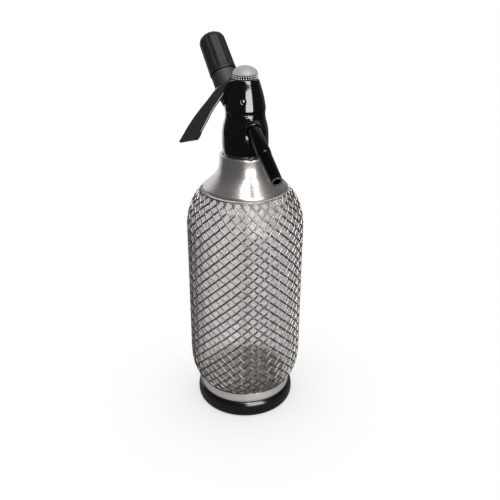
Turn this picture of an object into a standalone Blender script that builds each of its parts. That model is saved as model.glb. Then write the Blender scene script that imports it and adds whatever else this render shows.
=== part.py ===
"""Soda siphon: a glass bottle in a wire-mesh sleeve, with a screw-on head that
carries a lever valve, a spout and a charger holder.

Metres, +Z up. The origin is the middle of the foot's underside and the spout
points to -Y. Pieces that touch keep a hair's gap, so every one is its own solid.
"""
import math

import bmesh
import bpy
from mathutils import Matrix, Vector

for old in list(bpy.data.objects):
    bpy.data.objects.remove(old, do_unlink=True)

# Driving dimensions
GAP = 0.0003
OVERRUN = 0.004
BORE_CLEARANCE = 0.0003
MERGE_DISTANCE = 0.000001

# Foot and ring under the bottle, whose bores follow the bottle's heel
FOOT_FLANGE = 0.0034
FOOT_HEIGHT = 0.0146
FOOT_FLOOR = 0.0042
FOOT_SLACK = 0.0012
RING_FLARE = 0.0012
RING_WALL = 0.0024
RING_HEIGHT = 0.0078
RING_SLACK = 0.0014

# Wire-mesh sleeve, whose outside is the bottle's visible outline
SLEEVE_RADIUS = 0.05175
SLEEVE_HEIGHT = 0.1905
WIRE_THICKNESS = 0.0010
WIRE_WIDTH = 0.0017
SLEEVE_BAND = 0.0012
MESH_ROUND = 14
MESH_ROWS = 14
HEEL_RISE = 0.0300
HEEL_SEMI_HEIGHT = 0.0320
HEEL_INSET = 0.0157
SHOULDER_RISE = 0.0345
SHOULDER_SEMI_HEIGHT = 0.0420
SHOULDER_INSET = 0.0320

# Glass bottle
GLASS_SLACK = 0.0006
GLASS_EXTRA_INSET = 0.0040
GLASS_WALL = 0.0028
GLASS_FLOOR = 0.0090
GLASS_PUNT = 0.0030
GLASS_HEEL_CURVE = 0.0073
GLASS_REST_WIDTH = 0.0100
NECK_RADIUS = 0.0145
NECK_BORE_RADIUS = 0.0105

# Neck collar
COLLAR_SLACK = 0.0019
COLLAR_SKIRT = 0.0026
COLLAR_NECK_RADIUS = 0.0218
COLLAR_HEIGHT = 0.0287
COLLAR_WALL = 0.0009
SPIGOT_RADIUS = 0.0159
SPIGOT_HEIGHT = 0.0083

# Head: the lower casting and the lever housing on it
HEAD_LIFT = 0.0020
HEAD_BODY_HEIGHT = 0.0353
HEAD_RADIUS = 0.0198
HOUSING_HEIGHT = 0.0262
CHAMBER_RADIUS = 0.0053
CHANNEL_RADIUS = 0.0025
SEAT_HEIGHT = 0.0040
SEAT_BORE_RADIUS = 0.0019
THREAD_RING_INSET = 0.0007
THREAD_RING_RADIUS = 0.0174
THREAD_RING_HEIGHT = 0.0079

# Riser under the head
GASKET_HEIGHT = 0.0016
GASKET_BORE_RADIUS = 0.0088
PLATE_RADIUS = 0.0143
PLATE_HEIGHT = 0.0022
HUB_RADIUS = 0.0064
HUB_HEIGHT = 0.0120
TUBE_RADIUS = 0.0035
TUBE_WALL = 0.0010
TUBE_BOTTOM_LIFT = 0.0040

# Valve
STEM_RADIUS = 0.0020
SEAL_RADIUS = 0.0036
SEAL_HEIGHT = 0.0022
GLAND_HEIGHT = 0.0034
FLANGE_RADIUS = 0.0060
FLANGE_HEIGHT = 0.0015
EYE_THICKNESS = 0.0030
EYE_BAR = 0.0028
VALVE_LIFT = 0.0015
SPRING_RADIUS = 0.0050
SPRING_WALL = 0.0011

# Dome cap
BOSS_RADIUS = 0.0075
BOSS_HEIGHT = 0.0045
DOME_RADIUS = 0.0106
DOME_RIM_HEIGHT = 0.0034
DOME_RISE = 0.0066
DOME_BEADS = 30
DOME_BEAD_DEPTH = 0.0005
SPRING_POCKET_RADIUS = 0.0057
SPRING_POCKET_DEPTH = 0.0016

# Lever and its pin, in the lever's upright plane
LEVER_TURN = 115.0
PIN_BELOW_TOP = 0.0155
PIN_RADIUS = 0.0015
PIN_PROUD = 0.0002
LEVER_LENGTH = 0.0561
LEVER_DROP = 0.0386
LEVER_WIDTH = 0.0096
LEVER_WALL = 0.0016
LEVER_WEB = 0.0020
LEVER_EDGE = 0.0006
HUB_EYE_RADIUS = 0.0042
NOSE_REACH = 0.0050
SLOT_CLEARANCE = 0.0003
SLOT_ROOF_REACH = 0.0116
LUG_REACH = 0.0170
LUG_HEIGHT = 0.0146
LUG_WALL = 0.0024

# Spout
SPOUT_SLOPE = 26.9
SPOUT_AXIS_SHARE = 0.972
SPOUT_ROOT = 0.0170
SPOUT_SOCKET_DEPTH = 0.0060
SPOUT_LENGTH = 0.0330
SPOUT_TIP_LENGTH = 0.0286
SPOUT_RADIUS = 0.0059
SPOUT_TIP_RADIUS = 0.0048
SPOUT_BORE_RADIUS = 0.0030
SPOUT_SPIGOT_RADIUS = 0.0040
SPOUT_SPIGOT_LENGTH = 0.0060
HOOD_RADIUS = 0.0070
HOOD_LENGTH = 0.0040

# Charger holder
HOLDER_TURN = 169.0
HOLDER_SLOPE = 50.0
HOLDER_AXIS_SHARE = 0.484
ARM_ROOT_RADIUS = 0.0094
ARM_RADIUS = 0.0111
ARM_START = 0.0160
ARM_ROOT_END = 0.0260
ARM_FLARE_END = 0.0380
ARM_END = 0.0558
CAP_RADIUS = 0.0117
CAP_END_RADIUS = 0.0112
CAP_RIM = 0.0023
CAP_WALL = 0.0028
CAP_ROUNDING = 0.0075
CAP_FLUTES = 12
FLUTE_DEPTH = 0.0005
NIPPLE_RADIUS = 0.0100
NIPPLE_LENGTH = 0.0257
NIPPLE_PROUD = 0.0090
CHARGER_RADIUS = 0.0090
CHARGER_LENGTH = 0.0660
CHARGER_NECK_RADIUS = 0.00445
CHARGER_NECK_LENGTH = 0.0100
CHARGER_SHOULDER = 0.0090
PIERCER_RADIUS = 0.0022
PIERCER_NEEDLE_RADIUS = 0.0009
PIERCER_BASE = 0.0050
GAS_BORE_RADIUS = 0.0012
CHARGER_SEAL_HEIGHT = 0.0024

ROUND_LARGE = 36
ROUND_HEAD = 32
ROUND_SMALL = 16
ROUND_BORE = 24

# Heights that follow from them
RING_BASE = FOOT_HEIGHT + GAP
SLEEVE_BASE = RING_BASE + RING_HEIGHT + GAP
SLEEVE_TOP = SLEEVE_BASE + SLEEVE_HEIGHT
HEEL_TOP = SLEEVE_BASE + HEEL_RISE
SHOULDER_START = SLEEVE_TOP - SHOULDER_RISE
HEEL_SHARE = HEEL_RISE / HEEL_SEMI_HEIGHT
HEEL_RADIUS = (SLEEVE_RADIUS - WIRE_THICKNESS - GLASS_SLACK
               - (HEEL_INSET + GLASS_EXTRA_INSET) * (1 - math.sqrt(1 - HEEL_SHARE ** 2)))
SHOULDER_SHARE = SHOULDER_RISE / SHOULDER_SEMI_HEIGHT
SHOULDER_RADIUS = (SLEEVE_RADIUS - WIRE_THICKNESS - GLASS_SLACK
                   - (SHOULDER_INSET + GLASS_EXTRA_INSET) * (1 - math.sqrt(1 - SHOULDER_SHARE ** 2)))
GLASS_REST_RADIUS = HEEL_RADIUS - GLASS_HEEL_CURVE
GLASS_PUNT_RADIUS = GLASS_REST_RADIUS - GLASS_REST_WIDTH
COLLAR_RADIUS = SHOULDER_RADIUS + COLLAR_SLACK
FOOT_BORE_RADIUS = HEEL_RADIUS + FOOT_SLACK
RING_BORE_RADIUS = HEEL_RADIUS + RING_SLACK
RING_TOP_RADIUS = RING_BORE_RADIUS + RING_WALL
RING_RADIUS = RING_TOP_RADIUS + RING_FLARE
FOOT_RADIUS = RING_RADIUS + FOOT_FLANGE
COLLAR_BASE = SLEEVE_TOP + GAP
COLLAR_TOP = COLLAR_BASE + COLLAR_HEIGHT
SPIGOT_TOP = COLLAR_TOP + SPIGOT_HEIGHT
NECK_TOP = SPIGOT_TOP + GAP
HEAD_BASE = COLLAR_TOP + HEAD_LIFT
HEAD_SPLIT = HEAD_BASE + HEAD_BODY_HEIGHT
HOUSING_BASE = HEAD_SPLIT + GAP
HEAD_TOP = HOUSING_BASE + HOUSING_HEIGHT
GASKET_BASE = NECK_TOP + GAP
PLATE_BASE = GASKET_BASE + GASKET_HEIGHT + GAP
CAVITY_TOP = PLATE_BASE + PLATE_HEIGHT + GAP
CHAMBER_BASE = CAVITY_TOP + CHANNEL_RADIUS
PIN_HEIGHT = HEAD_TOP - PIN_BELOW_TOP


def finish(name, colour, roughness, metallic=0.0, alpha=1.0):
    """A plain Principled material."""
    material = bpy.data.materials.new(name)
    material.use_nodes = True
    shader = material.node_tree.nodes["Principled BSDF"]
    shader.inputs["Base Color"].default_value = (*colour, 1.0)
    shader.inputs["Roughness"].default_value = roughness
    shader.inputs["Metallic"].default_value = metallic
    shader.inputs["Alpha"].default_value = alpha
    material.diffuse_color = (*colour, alpha)
    return material


def add(name, bm, material=None, matrix=None):
    """Makes an object of a bmesh, with smooth shading between its sharp edges."""
    bmesh.ops.recalc_face_normals(bm, faces=bm.faces)
    mesh = bpy.data.meshes.new(name)
    bm.to_mesh(mesh)
    bm.free()
    mesh.shade_smooth()
    mesh.set_sharp_from_angle(angle=math.radians(35))
    shape = bpy.data.objects.new(name, mesh)
    bpy.context.scene.collection.objects.link(shape)
    if matrix is not None:
        shape.matrix_world = matrix
    if material is not None:
        mesh.materials.append(material)
    return shape


def turned_mesh(outline, steps):
    """Turns a closed outline of (radius, height) points about Z."""
    bm = bmesh.new()
    verts = [bm.verts.new((radius, 0, height)) for radius, height in outline]
    edges = []
    for here, there in zip(verts, verts[1:] + verts[:1]):
        if here.co.x > 0 or there.co.x > 0:
            edges.append(bm.edges.new((here, there)))
    bmesh.ops.spin(bm, geom=verts + edges, cent=(0, 0, 0), axis=(0, 0, 1),
                   angle=math.tau, steps=steps, use_merge=True)
    bmesh.ops.remove_doubles(bm, verts=bm.verts, dist=MERGE_DISTANCE)
    return bm


def turned(name, outline, steps, material=None, matrix=None):
    return add(name, turned_mesh(outline, steps), material, matrix)


def ring_outline(outer, inner, base, top):
    return [(inner, base), (outer, base), (outer, top), (inner, top)]


def rod_outline(radius, base, top):
    return [(0, base), (radius, base), (radius, top), (0, top)]


def plate_mesh(outline, half_width):
    """A plate in the X-Z plane, with the outline's (x, z) points, centred on Y."""
    bm = bmesh.new()
    near = [bm.verts.new((x, -half_width, z)) for x, z in outline]
    face = bm.faces.new(near)
    side = bmesh.ops.extrude_face_region(bm, geom=[face])
    moved = [item for item in side["geom"] if isinstance(item, bmesh.types.BMVert)]
    bmesh.ops.translate(bm, verts=moved, vec=(0, 2 * half_width, 0))
    return bm


def combine(shape, other, operation):
    """Joins the other to the shape or cuts it from it, and hides the other."""
    step = shape.modifiers.new(other.name, "BOOLEAN")
    step.operation = operation
    step.object = other
    step.solver = "EXACT"
    other.hide_render = True
    other.display_type = "WIRE"


def cut(shape, *others):
    for other in others:
        combine(shape, other, "DIFFERENCE")


def arc(centre, radii, start, end, steps):
    """Points of an ellipse's arc, with angles in degrees."""
    points = []
    for step in range(steps + 1):
        angle = math.radians(start + (end - start) * step / steps)
        points.append((centre[0] + radii[0] * math.cos(angle),
                       centre[1] + radii[1] * math.sin(angle)))
    return points


def through(points, steps):
    """A smooth open curve through the points."""
    ends = [points[0]] + list(points) + [points[-1]]
    curve = []
    for a, b, c, d in zip(ends, ends[1:], ends[2:], ends[3:]):
        for step in range(steps):
            t = step / steps
            curve.append(tuple(
                0.5 * (2 * q + (r - p) * t + (2 * p - 5 * q + 4 * r - s) * t ** 2
                       + (3 * q - p - 3 * r + s) * t ** 3)
                for p, q, r, s in zip(a, b, c, d)))
    return curve + [points[-1]]


def along(direction, base):
    """A frame at base whose Z axis points in the direction."""
    turn = direction.to_track_quat("Z", "Y").to_matrix().to_4x4()
    return Matrix.Translation(base) @ turn


def outward(turn, slope):
    """A direction turned from the spout's side by turn and raised by slope, in degrees."""
    turn, slope = math.radians(turn), math.radians(slope)
    return Vector((-math.sin(turn) * math.cos(slope), -math.cos(turn) * math.cos(slope),
                   math.sin(slope)))


def flank(height, radius, extra_inset):
    """Radius of the bottle's side at a height: straight, with an oval heel and shoulder."""
    share = 0.0
    inset = 0.0
    if height < HEEL_TOP:
        share = (HEEL_TOP - height) / HEEL_SEMI_HEIGHT
        inset = HEEL_INSET + extra_inset
    if height > SHOULDER_START:
        share = (height - SHOULDER_START) / SHOULDER_SEMI_HEIGHT
        inset = SHOULDER_INSET + extra_inset
    return radius - inset * (1 - math.sqrt(1 - share ** 2))


def foot():
    outline = [(0, 0), (FOOT_RADIUS - 0.05 * FOOT_RADIUS, 0)]
    outline += arc((FOOT_RADIUS - 0.05 * FOOT_RADIUS, 0.36 * FOOT_HEIGHT),
                   (0.05 * FOOT_RADIUS, 0.36 * FOOT_HEIGHT), -60, 0, 3)
    outline += arc((RING_RADIUS + GAP, 0.45 * FOOT_HEIGHT),
                   (FOOT_RADIUS - RING_RADIUS - GAP, 0.55 * FOOT_HEIGHT), 10, 75, 4)
    outline += [(RING_RADIUS + GAP, FOOT_HEIGHT), (FOOT_BORE_RADIUS, FOOT_HEIGHT),
                (FOOT_BORE_RADIUS, FOOT_FLOOR), (0, FOOT_FLOOR)]
    turned("foot", outline, ROUND_LARGE, finish("foot_black", (0.012, 0.012, 0.013), 0.22))


def base_ring():
    top = RING_BASE + RING_HEIGHT
    edge = RING_TOP_RADIUS - RING_BORE_RADIUS
    outline = [(RING_BORE_RADIUS, RING_BASE), (RING_RADIUS, RING_BASE),
               (RING_RADIUS, RING_BASE + 0.3 * RING_HEIGHT),
               (RING_TOP_RADIUS + 0.1 * edge, RING_BASE + 0.85 * RING_HEIGHT),
               (RING_TOP_RADIUS - 0.2 * edge, top), (RING_BORE_RADIUS, top)]
    turned("base_ring", outline, ROUND_LARGE, finish("ring_silver", (0.72, 0.71, 0.69), 0.3, 1.0))


def glass_radius(height):
    return flank(height, SLEEVE_RADIUS - WIRE_THICKNESS - GLASS_SLACK, GLASS_EXTRA_INSET)


def glass_bottle():
    base = FOOT_FLOOR + GAP
    heights = [SLEEVE_BASE + share * HEEL_RISE for share in (0, 0.2, 0.43, 0.7, 1)]
    heights += [SHOULDER_START + share * SHOULDER_RISE for share in (0, 0.4, 0.7, 1)]
    side = [(glass_radius(height), height) for height in heights]
    neck_low = COLLAR_BASE + 0.76 * COLLAR_HEIGHT
    shoulder = side[-1]
    corner = (0.5 * (GLASS_REST_RADIUS + side[0][0]) + GLASS_PUNT / 2, base + 0.25 * (SLEEVE_BASE - base))
    outline = [(0, base + GLASS_PUNT), (GLASS_PUNT_RADIUS, base + GLASS_PUNT), (GLASS_REST_RADIUS, base),
               corner]
    outline += side
    outline += through([shoulder,
                        (NECK_RADIUS + 0.62 * (shoulder[0] - NECK_RADIUS),
                         shoulder[1] + 0.32 * (neck_low - shoulder[1])),
                        (NECK_RADIUS + 0.24 * (shoulder[0] - NECK_RADIUS),
                         shoulder[1] + 0.62 * (neck_low - shoulder[1])),
                        (NECK_RADIUS, neck_low)], 1)[1:]
    outline += [(NECK_RADIUS, NECK_TOP), (NECK_BORE_RADIUS, NECK_TOP)]
    outline += [(NECK_BORE_RADIUS, neck_low - GLASS_WALL / 4)]
    inner = [(radius - GLASS_WALL, height) for radius, height in side]
    shoulder = inner[-1]
    outline += [(NECK_BORE_RADIUS + 0.45 * (shoulder[0] - NECK_BORE_RADIUS),
                 shoulder[1] + 0.40 * (neck_low - shoulder[1])),
                (NECK_BORE_RADIUS + 0.80 * (shoulder[0] - NECK_BORE_RADIUS),
                 shoulder[1] + 0.15 * (neck_low - shoulder[1]))]
    outline += inner[::-1]
    outline += [(GLASS_REST_RADIUS, base + GLASS_FLOOR), (0, base + GLASS_FLOOR + GLASS_PUNT)]
    turned("glass_bottle", outline, ROUND_LARGE,
           finish("clear_glass", (0.85, 0.9, 0.88), 0.05, alpha=0.35))


def wire_mesh():
    """Crossing wires as one lattice wrapped round the bottle, thickened inward."""
    bm = bmesh.new()
    pitch = math.tau / MESH_ROUND
    low = SLEEVE_BASE + SLEEVE_BAND
    rise = (SLEEVE_HEIGHT - 2 * SLEEVE_BAND) / MESH_ROWS
    half_height = 0.5 * WIRE_WIDTH / math.cos(math.atan2(rise, 0.5 * pitch * SLEEVE_RADIUS))
    half_turn = 0.5 * WIRE_WIDTH / math.sin(math.atan2(rise, 0.5 * pitch * SLEEVE_RADIUS))
    half_turn = half_turn / SLEEVE_RADIUS

    def point(turn, height):
        radius = flank(height, SLEEVE_RADIUS, 0)
        return bm.verts.new((radius * math.cos(turn), radius * math.sin(turn), height))

    crossings = {}
    for row in range(MESH_ROWS + 1):
        height = low + row * rise
        for column in range(MESH_ROUND):
            turn = (column + 0.5 * (row % 2)) * pitch
            corners = {"east": point(turn + half_turn, height), "west": point(turn - half_turn, height)}
            if row < MESH_ROWS:
                corners["north"] = point(turn, height + half_height)
            if row > 0:
                corners["south"] = point(turn, height - half_height)
            crossings[row, column] = corners

    for (row, column), corners in crossings.items():
        loop = [corners[side] for side in ("east", "north", "west", "south") if side in corners]
        bm.faces.new(loop)
        if row == MESH_ROWS:
            continue
        shift = row % 2
        right = crossings[row + 1, (column + shift) % MESH_ROUND]
        left = crossings[row + 1, (column + shift - 1) % MESH_ROUND]
        bm.faces.new([corners["east"], right["south"], right["west"], corners["north"]])
        bm.faces.new([corners["north"], left["east"], left["south"], corners["west"]])

    for row, edge in ((0, SLEEVE_BASE), (MESH_ROWS, SLEEVE_TOP)):
        rim = []
        for column in range(MESH_ROUND):
            corners = crossings[row, column]
            for side in ("west", "east"):
                near = corners[side]
                turn = math.atan2(near.co.y, near.co.x)
                rim.append((near, point(turn, edge)))
        for here, there in zip(rim, rim[1:] + rim[:1]):
            bm.faces.new([here[0], here[1], there[1], there[0]])
    sleeve = add("wire_mesh", bm, finish("mesh_steel", (0.62, 0.60, 0.57), 0.3, 1.0))
    solid = sleeve.modifiers.new("wire thickness", "SOLIDIFY")
    solid.thickness = WIRE_THICKNESS
    solid.offset = -1


def neck_collar():
    neck_low = COLLAR_BASE + 0.76 * COLLAR_HEIGHT
    skirt_top = COLLAR_BASE + COLLAR_SKIRT
    fall = COLLAR_RADIUS - COLLAR_NECK_RADIUS
    climb = COLLAR_TOP - skirt_top
    cone_shares = ((0.965, 0.035), (0.55, 0.23), (0.27, 0.39), (0.10, 0.56), (0.02, 0.76))
    cone = [(COLLAR_NECK_RADIUS + fall * inward, skirt_top + climb * upward)
            for inward, upward in cone_shares]
    outline = [(COLLAR_RADIUS - COLLAR_WALL, COLLAR_BASE), (COLLAR_RADIUS, COLLAR_BASE),
               (COLLAR_RADIUS, skirt_top)]
    outline += cone
    outline += [(COLLAR_NECK_RADIUS, COLLAR_TOP - COLLAR_WALL), (COLLAR_NECK_RADIUS + GAP, COLLAR_TOP),
                (SPIGOT_RADIUS, COLLAR_TOP), (SPIGOT_RADIUS, SPIGOT_TOP),
                (NECK_RADIUS + GAP, SPIGOT_TOP), (NECK_RADIUS + GAP, neck_low + GAP)]
    outline += [(radius - 1.6 * COLLAR_WALL, height - 0.8 * COLLAR_WALL)
                for radius, height in reversed(cone[:4])]
    turned("neck_collar", outline, ROUND_LARGE, finish("collar_aluminium", (0.70, 0.69, 0.67), 0.33, 1.0))


def head_curve():
    """The whole head's turned outside, from its bottom edge to its top."""
    height_shares = (0, 0.02, 0.10, 0.20, 0.31, 0.41, 0.48, 0.545, 0.62, 0.68, 0.78, 0.865, 0.965, 1)
    radius_shares = (0.925, 0.965, 0.995, 1.0, 0.985, 0.93, 0.87, 0.848, 0.862, 0.838, 0.775, 0.702,
                     0.602, 0.570)
    span = HEAD_TOP - HEAD_BASE
    return through([(HEAD_RADIUS * radius, HEAD_BASE + span * height)
                    for radius, height in zip(radius_shares, height_shares)], 2)


def head_radius(height):
    for (r0, z0), (r1, z1) in zip(head_curve(), head_curve()[1:]):
        if z0 <= height <= z1:
            return r0 + (r1 - r0) * (height - z0) / (z1 - z0)
    return head_curve()[-1][0]


def head_outline(base, top):
    """The head's turned outside between two heights."""
    inside = [point for point in head_curve() if base + 2 * GAP < point[1] < top - 2 * GAP]
    return [(head_radius(base), base)] + inside + [(head_radius(top), top)]


LEVER_SIDE = outward(LEVER_TURN, 0)
LEVER_FRAME = Matrix.Translation((0, 0, PIN_HEIGHT)) @ Matrix.Rotation(
    math.atan2(LEVER_SIDE.y, LEVER_SIDE.x), 4, "Z")
PIN_FRAME = LEVER_FRAME @ Matrix.Rotation(math.pi / 2, 4, "X")
HOLDER_AXIS = outward(HOLDER_TURN, HOLDER_SLOPE)
HOLDER_BASE = Vector((0, 0, HEAD_BASE + HOLDER_AXIS_SHARE * HEAD_BODY_HEIGHT))
HOLDER_FRAME = along(HOLDER_AXIS, HOLDER_BASE)
ARM_FRAME = HOLDER_FRAME @ Matrix.Rotation(math.pi / ROUND_BORE, 4, "Z")
SPOUT_AXIS = outward(0, -SPOUT_SLOPE)
SPOUT_BASE = Vector((0, 0, HEAD_BASE + SPOUT_AXIS_SHARE * HEAD_BODY_HEIGHT))
SPOUT_FRAME = along(SPOUT_AXIS, SPOUT_BASE)
SPOUT_START = SPOUT_ROOT / math.cos(math.radians(SPOUT_SLOPE))
PIERCER_TIP = ARM_END - NIPPLE_LENGTH + NIPPLE_PROUD - CHARGER_NECK_LENGTH - CHARGER_SHOULDER / 2


def arm_outline(clearance):
    """The charger's arm, which flares from its root to its full width."""
    return [(0, ARM_START - clearance), (ARM_ROOT_RADIUS + clearance, ARM_START - clearance),
            (ARM_ROOT_RADIUS + clearance, ARM_ROOT_END), (ARM_RADIUS + clearance, ARM_FLARE_END),
            (ARM_RADIUS + clearance, ARM_END), (0, ARM_END)]


def lever_slot():
    """The space that the lever needs in the head, in the lever's frame."""
    floor = -2 * HUB_EYE_RADIUS
    inner = NOSE_REACH + 6 * SLOT_CLEARANCE
    roof = HUB_EYE_RADIUS + 2 * SLOT_CLEARANCE
    high = PIN_BELOW_TOP - 4 * SLOT_CLEARANCE
    outline = [(-inner, floor), (HEAD_RADIUS + OVERRUN, floor), (HEAD_RADIUS + OVERRUN, high + OVERRUN),
               (SLOT_ROOF_REACH, high + OVERRUN), (SLOT_ROOF_REACH, high), (HUB_EYE_RADIUS, high),
               (HUB_EYE_RADIUS, roof), (-inner, roof)]
    bm = plate_mesh(outline, LEVER_WIDTH / 2 + SLOT_CLEARANCE)
    return add("lever_slot", bm, matrix=LEVER_FRAME)


def head_body():
    """Lower casting: threaded skirt, valve chamber, spout socket and charger arm."""
    outline = [(0, HEAD_BASE)] + head_outline(HEAD_BASE, HEAD_SPLIT) + [(0, HEAD_SPLIT)]
    body = turned("head_body", outline, ROUND_HEAD, finish("head_black", (0.010, 0.010, 0.011), 0.12))
    arm = turned("arm_union", arm_outline(0), ROUND_BORE, matrix=ARM_FRAME)
    hood_end = SPOUT_START + HOOD_LENGTH
    hood = turned("hood_union", rod_outline(HOOD_RADIUS, CHAMBER_RADIUS + OVERRUN, hood_end), ROUND_BORE,
                  matrix=SPOUT_FRAME)
    combine(body, arm, "UNION")
    combine(body, hood, "UNION")
    cavity = THREAD_RING_RADIUS + BORE_CLEARANCE
    hollow = [(0, HEAD_BASE - OVERRUN), (cavity, HEAD_BASE - OVERRUN), (cavity, PLATE_BASE + GAP),
              (PLATE_RADIUS + GAP, PLATE_BASE + GAP), (PLATE_RADIUS + GAP, CAVITY_TOP),
              (CHANNEL_RADIUS, CAVITY_TOP), (CHANNEL_RADIUS, CHAMBER_BASE), (CHAMBER_RADIUS, CHAMBER_BASE),
              (CHAMBER_RADIUS, HEAD_SPLIT + OVERRUN), (0, HEAD_SPLIT + OVERRUN)]
    socket = SPOUT_START + HOOD_LENGTH - SPOUT_SOCKET_DEPTH
    seat_depth = PIERCER_TIP - PIERCER_BASE - GAP
    throat_base = PIERCER_TIP - CHARGER_SEAL_HEIGHT - GAP
    throat_end = PIERCER_TIP + CHARGER_NECK_LENGTH
    nipple_floor = ARM_END + NIPPLE_PROUD - NIPPLE_LENGTH - GAP
    charger_bore = [(0, seat_depth), (PIERCER_RADIUS + GAP, seat_depth),
                    (PIERCER_RADIUS + GAP, throat_base), (CHARGER_NECK_RADIUS + 2 * GAP, throat_base),
                    (CHARGER_NECK_RADIUS + 2 * GAP, throat_end), (CHARGER_RADIUS + GAP, throat_end),
                    (CHARGER_RADIUS + GAP, nipple_floor), (NIPPLE_RADIUS + GAP, nipple_floor),
                    (NIPPLE_RADIUS + GAP, ARM_END + OVERRUN), (0, ARM_END + OVERRUN)]
    cut(body,
        turned("body_hollow", hollow, ROUND_HEAD),
        turned("spout_socket", rod_outline(SPOUT_RADIUS + GAP, socket, hood_end + OVERRUN), ROUND_SMALL,
               matrix=SPOUT_FRAME),
        turned("spout_channel", rod_outline(CHANNEL_RADIUS, 0, socket + OVERRUN), ROUND_SMALL,
               matrix=along(Vector((0, -1, 0)), (0, 0, spout_port_height()))),
        turned("charger_bore", charger_bore, ROUND_BORE, matrix=HOLDER_FRAME),
        gas_drill(seat_depth))


def spout_port_height():
    """Height at which the spout's socket floor meets the valve chamber's port."""
    floor = SPOUT_START + HOOD_LENGTH - SPOUT_SOCKET_DEPTH
    return SPOUT_BASE.z + SPOUT_AXIS.z * (floor + SPOUT_SOCKET_DEPTH / 4)


def gas_drill(seat_depth):
    """Upright drilling that takes the gas from the piercing pin down to the bottle."""
    start = HOLDER_BASE + HOLDER_AXIS * (seat_depth + PIERCER_RADIUS)
    outline = rod_outline(GAS_BORE_RADIUS, CAVITY_TOP - OVERRUN / 2, start.z)
    return turned("gas_drill", outline, ROUND_SMALL, matrix=Matrix.Translation((start.x, start.y, 0)))


def lever_housing():
    """Upper casting: the lever's slot, the spring's pocket and the boss for the dome."""
    outline = head_outline(HOUSING_BASE, HEAD_TOP)
    pocket = FLANGE_RADIUS + 2 * GAP
    floor = PIN_HEIGHT - 2 * HUB_EYE_RADIUS
    outline = ([(STEM_RADIUS + BORE_CLEARANCE, HOUSING_BASE)] + outline
               + [(BOSS_RADIUS, HEAD_TOP), (BOSS_RADIUS, HEAD_TOP + BOSS_HEIGHT),
                  (pocket, HEAD_TOP + BOSS_HEIGHT), (pocket, floor - GAP),
                  (STEM_RADIUS + BORE_CLEARANCE, floor - GAP)])
    housing = turned("lever_housing", outline, ROUND_HEAD,
                     finish("housing_black", (0.010, 0.010, 0.011), 0.10))
    arm = turned("arm_notch", arm_outline(GAP), ROUND_BORE, matrix=ARM_FRAME)
    hood = turned("hood_notch", rod_outline(HOOD_RADIUS + GAP, CHAMBER_RADIUS, SPOUT_START + OVERRUN),
                  ROUND_BORE, matrix=SPOUT_FRAME)
    pin = turned("pin_hole", rod_outline(PIN_RADIUS + BORE_CLEARANCE, -HEAD_RADIUS, HEAD_RADIUS),
                 ROUND_SMALL, matrix=PIN_FRAME)
    lug_shares = ((0.48, 1.0), (0.80, 1.0), (0.88, 0.72), (0.95, 0.445), (0.982, 0.055), (1.0, -0.31),
                  (0.48, -0.31))
    lug = plate_mesh([(LUG_REACH * x, LUG_HEIGHT * z) for x, z in lug_shares],
                     LEVER_WIDTH / 2 + SLOT_CLEARANCE + LUG_WALL)
    combine(housing, add("lug_union", lug, matrix=LEVER_FRAME), "UNION")
    cut(housing, lever_slot(), arm, hood, pin)


def thread_ring():
    base = HEAD_BASE + THREAD_RING_INSET
    turned("thread_ring",
           ring_outline(THREAD_RING_RADIUS, SPIGOT_RADIUS + GAP, base, base + THREAD_RING_HEIGHT),
           ROUND_HEAD, finish("ring_brass", (0.70, 0.55, 0.27), 0.3, 1.0))


def valve():
    """Seat bush, seal, gland, stem with its eye round the lever's pin, and spring."""
    seat_base = CHAMBER_BASE + GAP
    seat_top = seat_base + SEAT_HEIGHT
    turned("valve_seat", ring_outline(CHAMBER_RADIUS - GAP, SEAT_BORE_RADIUS, seat_base, seat_top),
           ROUND_SMALL, finish("seat_brass", (0.70, 0.55, 0.27), 0.3, 1.0))
    seal_top = seat_top + GAP + SEAL_HEIGHT
    turned("valve_seal", rod_outline(SEAL_RADIUS, seat_top + GAP, seal_top), ROUND_SMALL,
           finish("seal_rubber", (0.03, 0.03, 0.03), 0.7))
    gland_top = HEAD_SPLIT - GAP
    turned("stem_gland",
           ring_outline(CHAMBER_RADIUS - GAP, STEM_RADIUS + BORE_CLEARANCE, gland_top - GLAND_HEIGHT,
                        gland_top),
           ROUND_SMALL, finish("gland_rubber", (0.05, 0.05, 0.05), 0.7))

    flange_base = PIN_HEIGHT + HUB_EYE_RADIUS + GAP
    flange_top = flange_base + FLANGE_HEIGHT
    eye_base = PIN_HEIGHT - 2 * HUB_EYE_RADIUS + 4 * GAP
    stem = turned("valve_stem",
                  [(0, seal_top + GAP), (STEM_RADIUS, seal_top + GAP), (STEM_RADIUS, flange_base),
                   (FLANGE_RADIUS, flange_base), (FLANGE_RADIUS, flange_top), (0, flange_top)],
                  ROUND_SMALL, finish("stem_steel", (0.6, 0.6, 0.6), 0.3, 1.0))
    window = PIN_RADIUS + GAP
    side = window + EYE_BAR
    eye_low = eye_base - PIN_HEIGHT
    eye_high = flange_base - PIN_HEIGHT + FLANGE_HEIGHT / 2
    frame = [(-side, eye_low), (side, eye_low), (side, eye_high), (-side, eye_high)]
    hole = [(-window, -window - VALVE_LIFT), (window, -window - VALVE_LIFT), (window, window),
            (-window, window)]
    combine(stem, add("eye_union", plate_mesh(frame, EYE_THICKNESS / 2), matrix=LEVER_FRAME), "UNION")
    cut(stem, add("eye_window", plate_mesh(hole, EYE_THICKNESS), matrix=LEVER_FRAME))

    pocket_top = HEAD_TOP + BOSS_HEIGHT + GAP + SPRING_POCKET_DEPTH
    turned("valve_spring",
           ring_outline(SPRING_RADIUS, SPRING_RADIUS - SPRING_WALL, flange_top + GAP, pocket_top - GAP),
           ROUND_SMALL, finish("spring_steel", (0.5, 0.5, 0.52), 0.35, 1.0))


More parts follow.
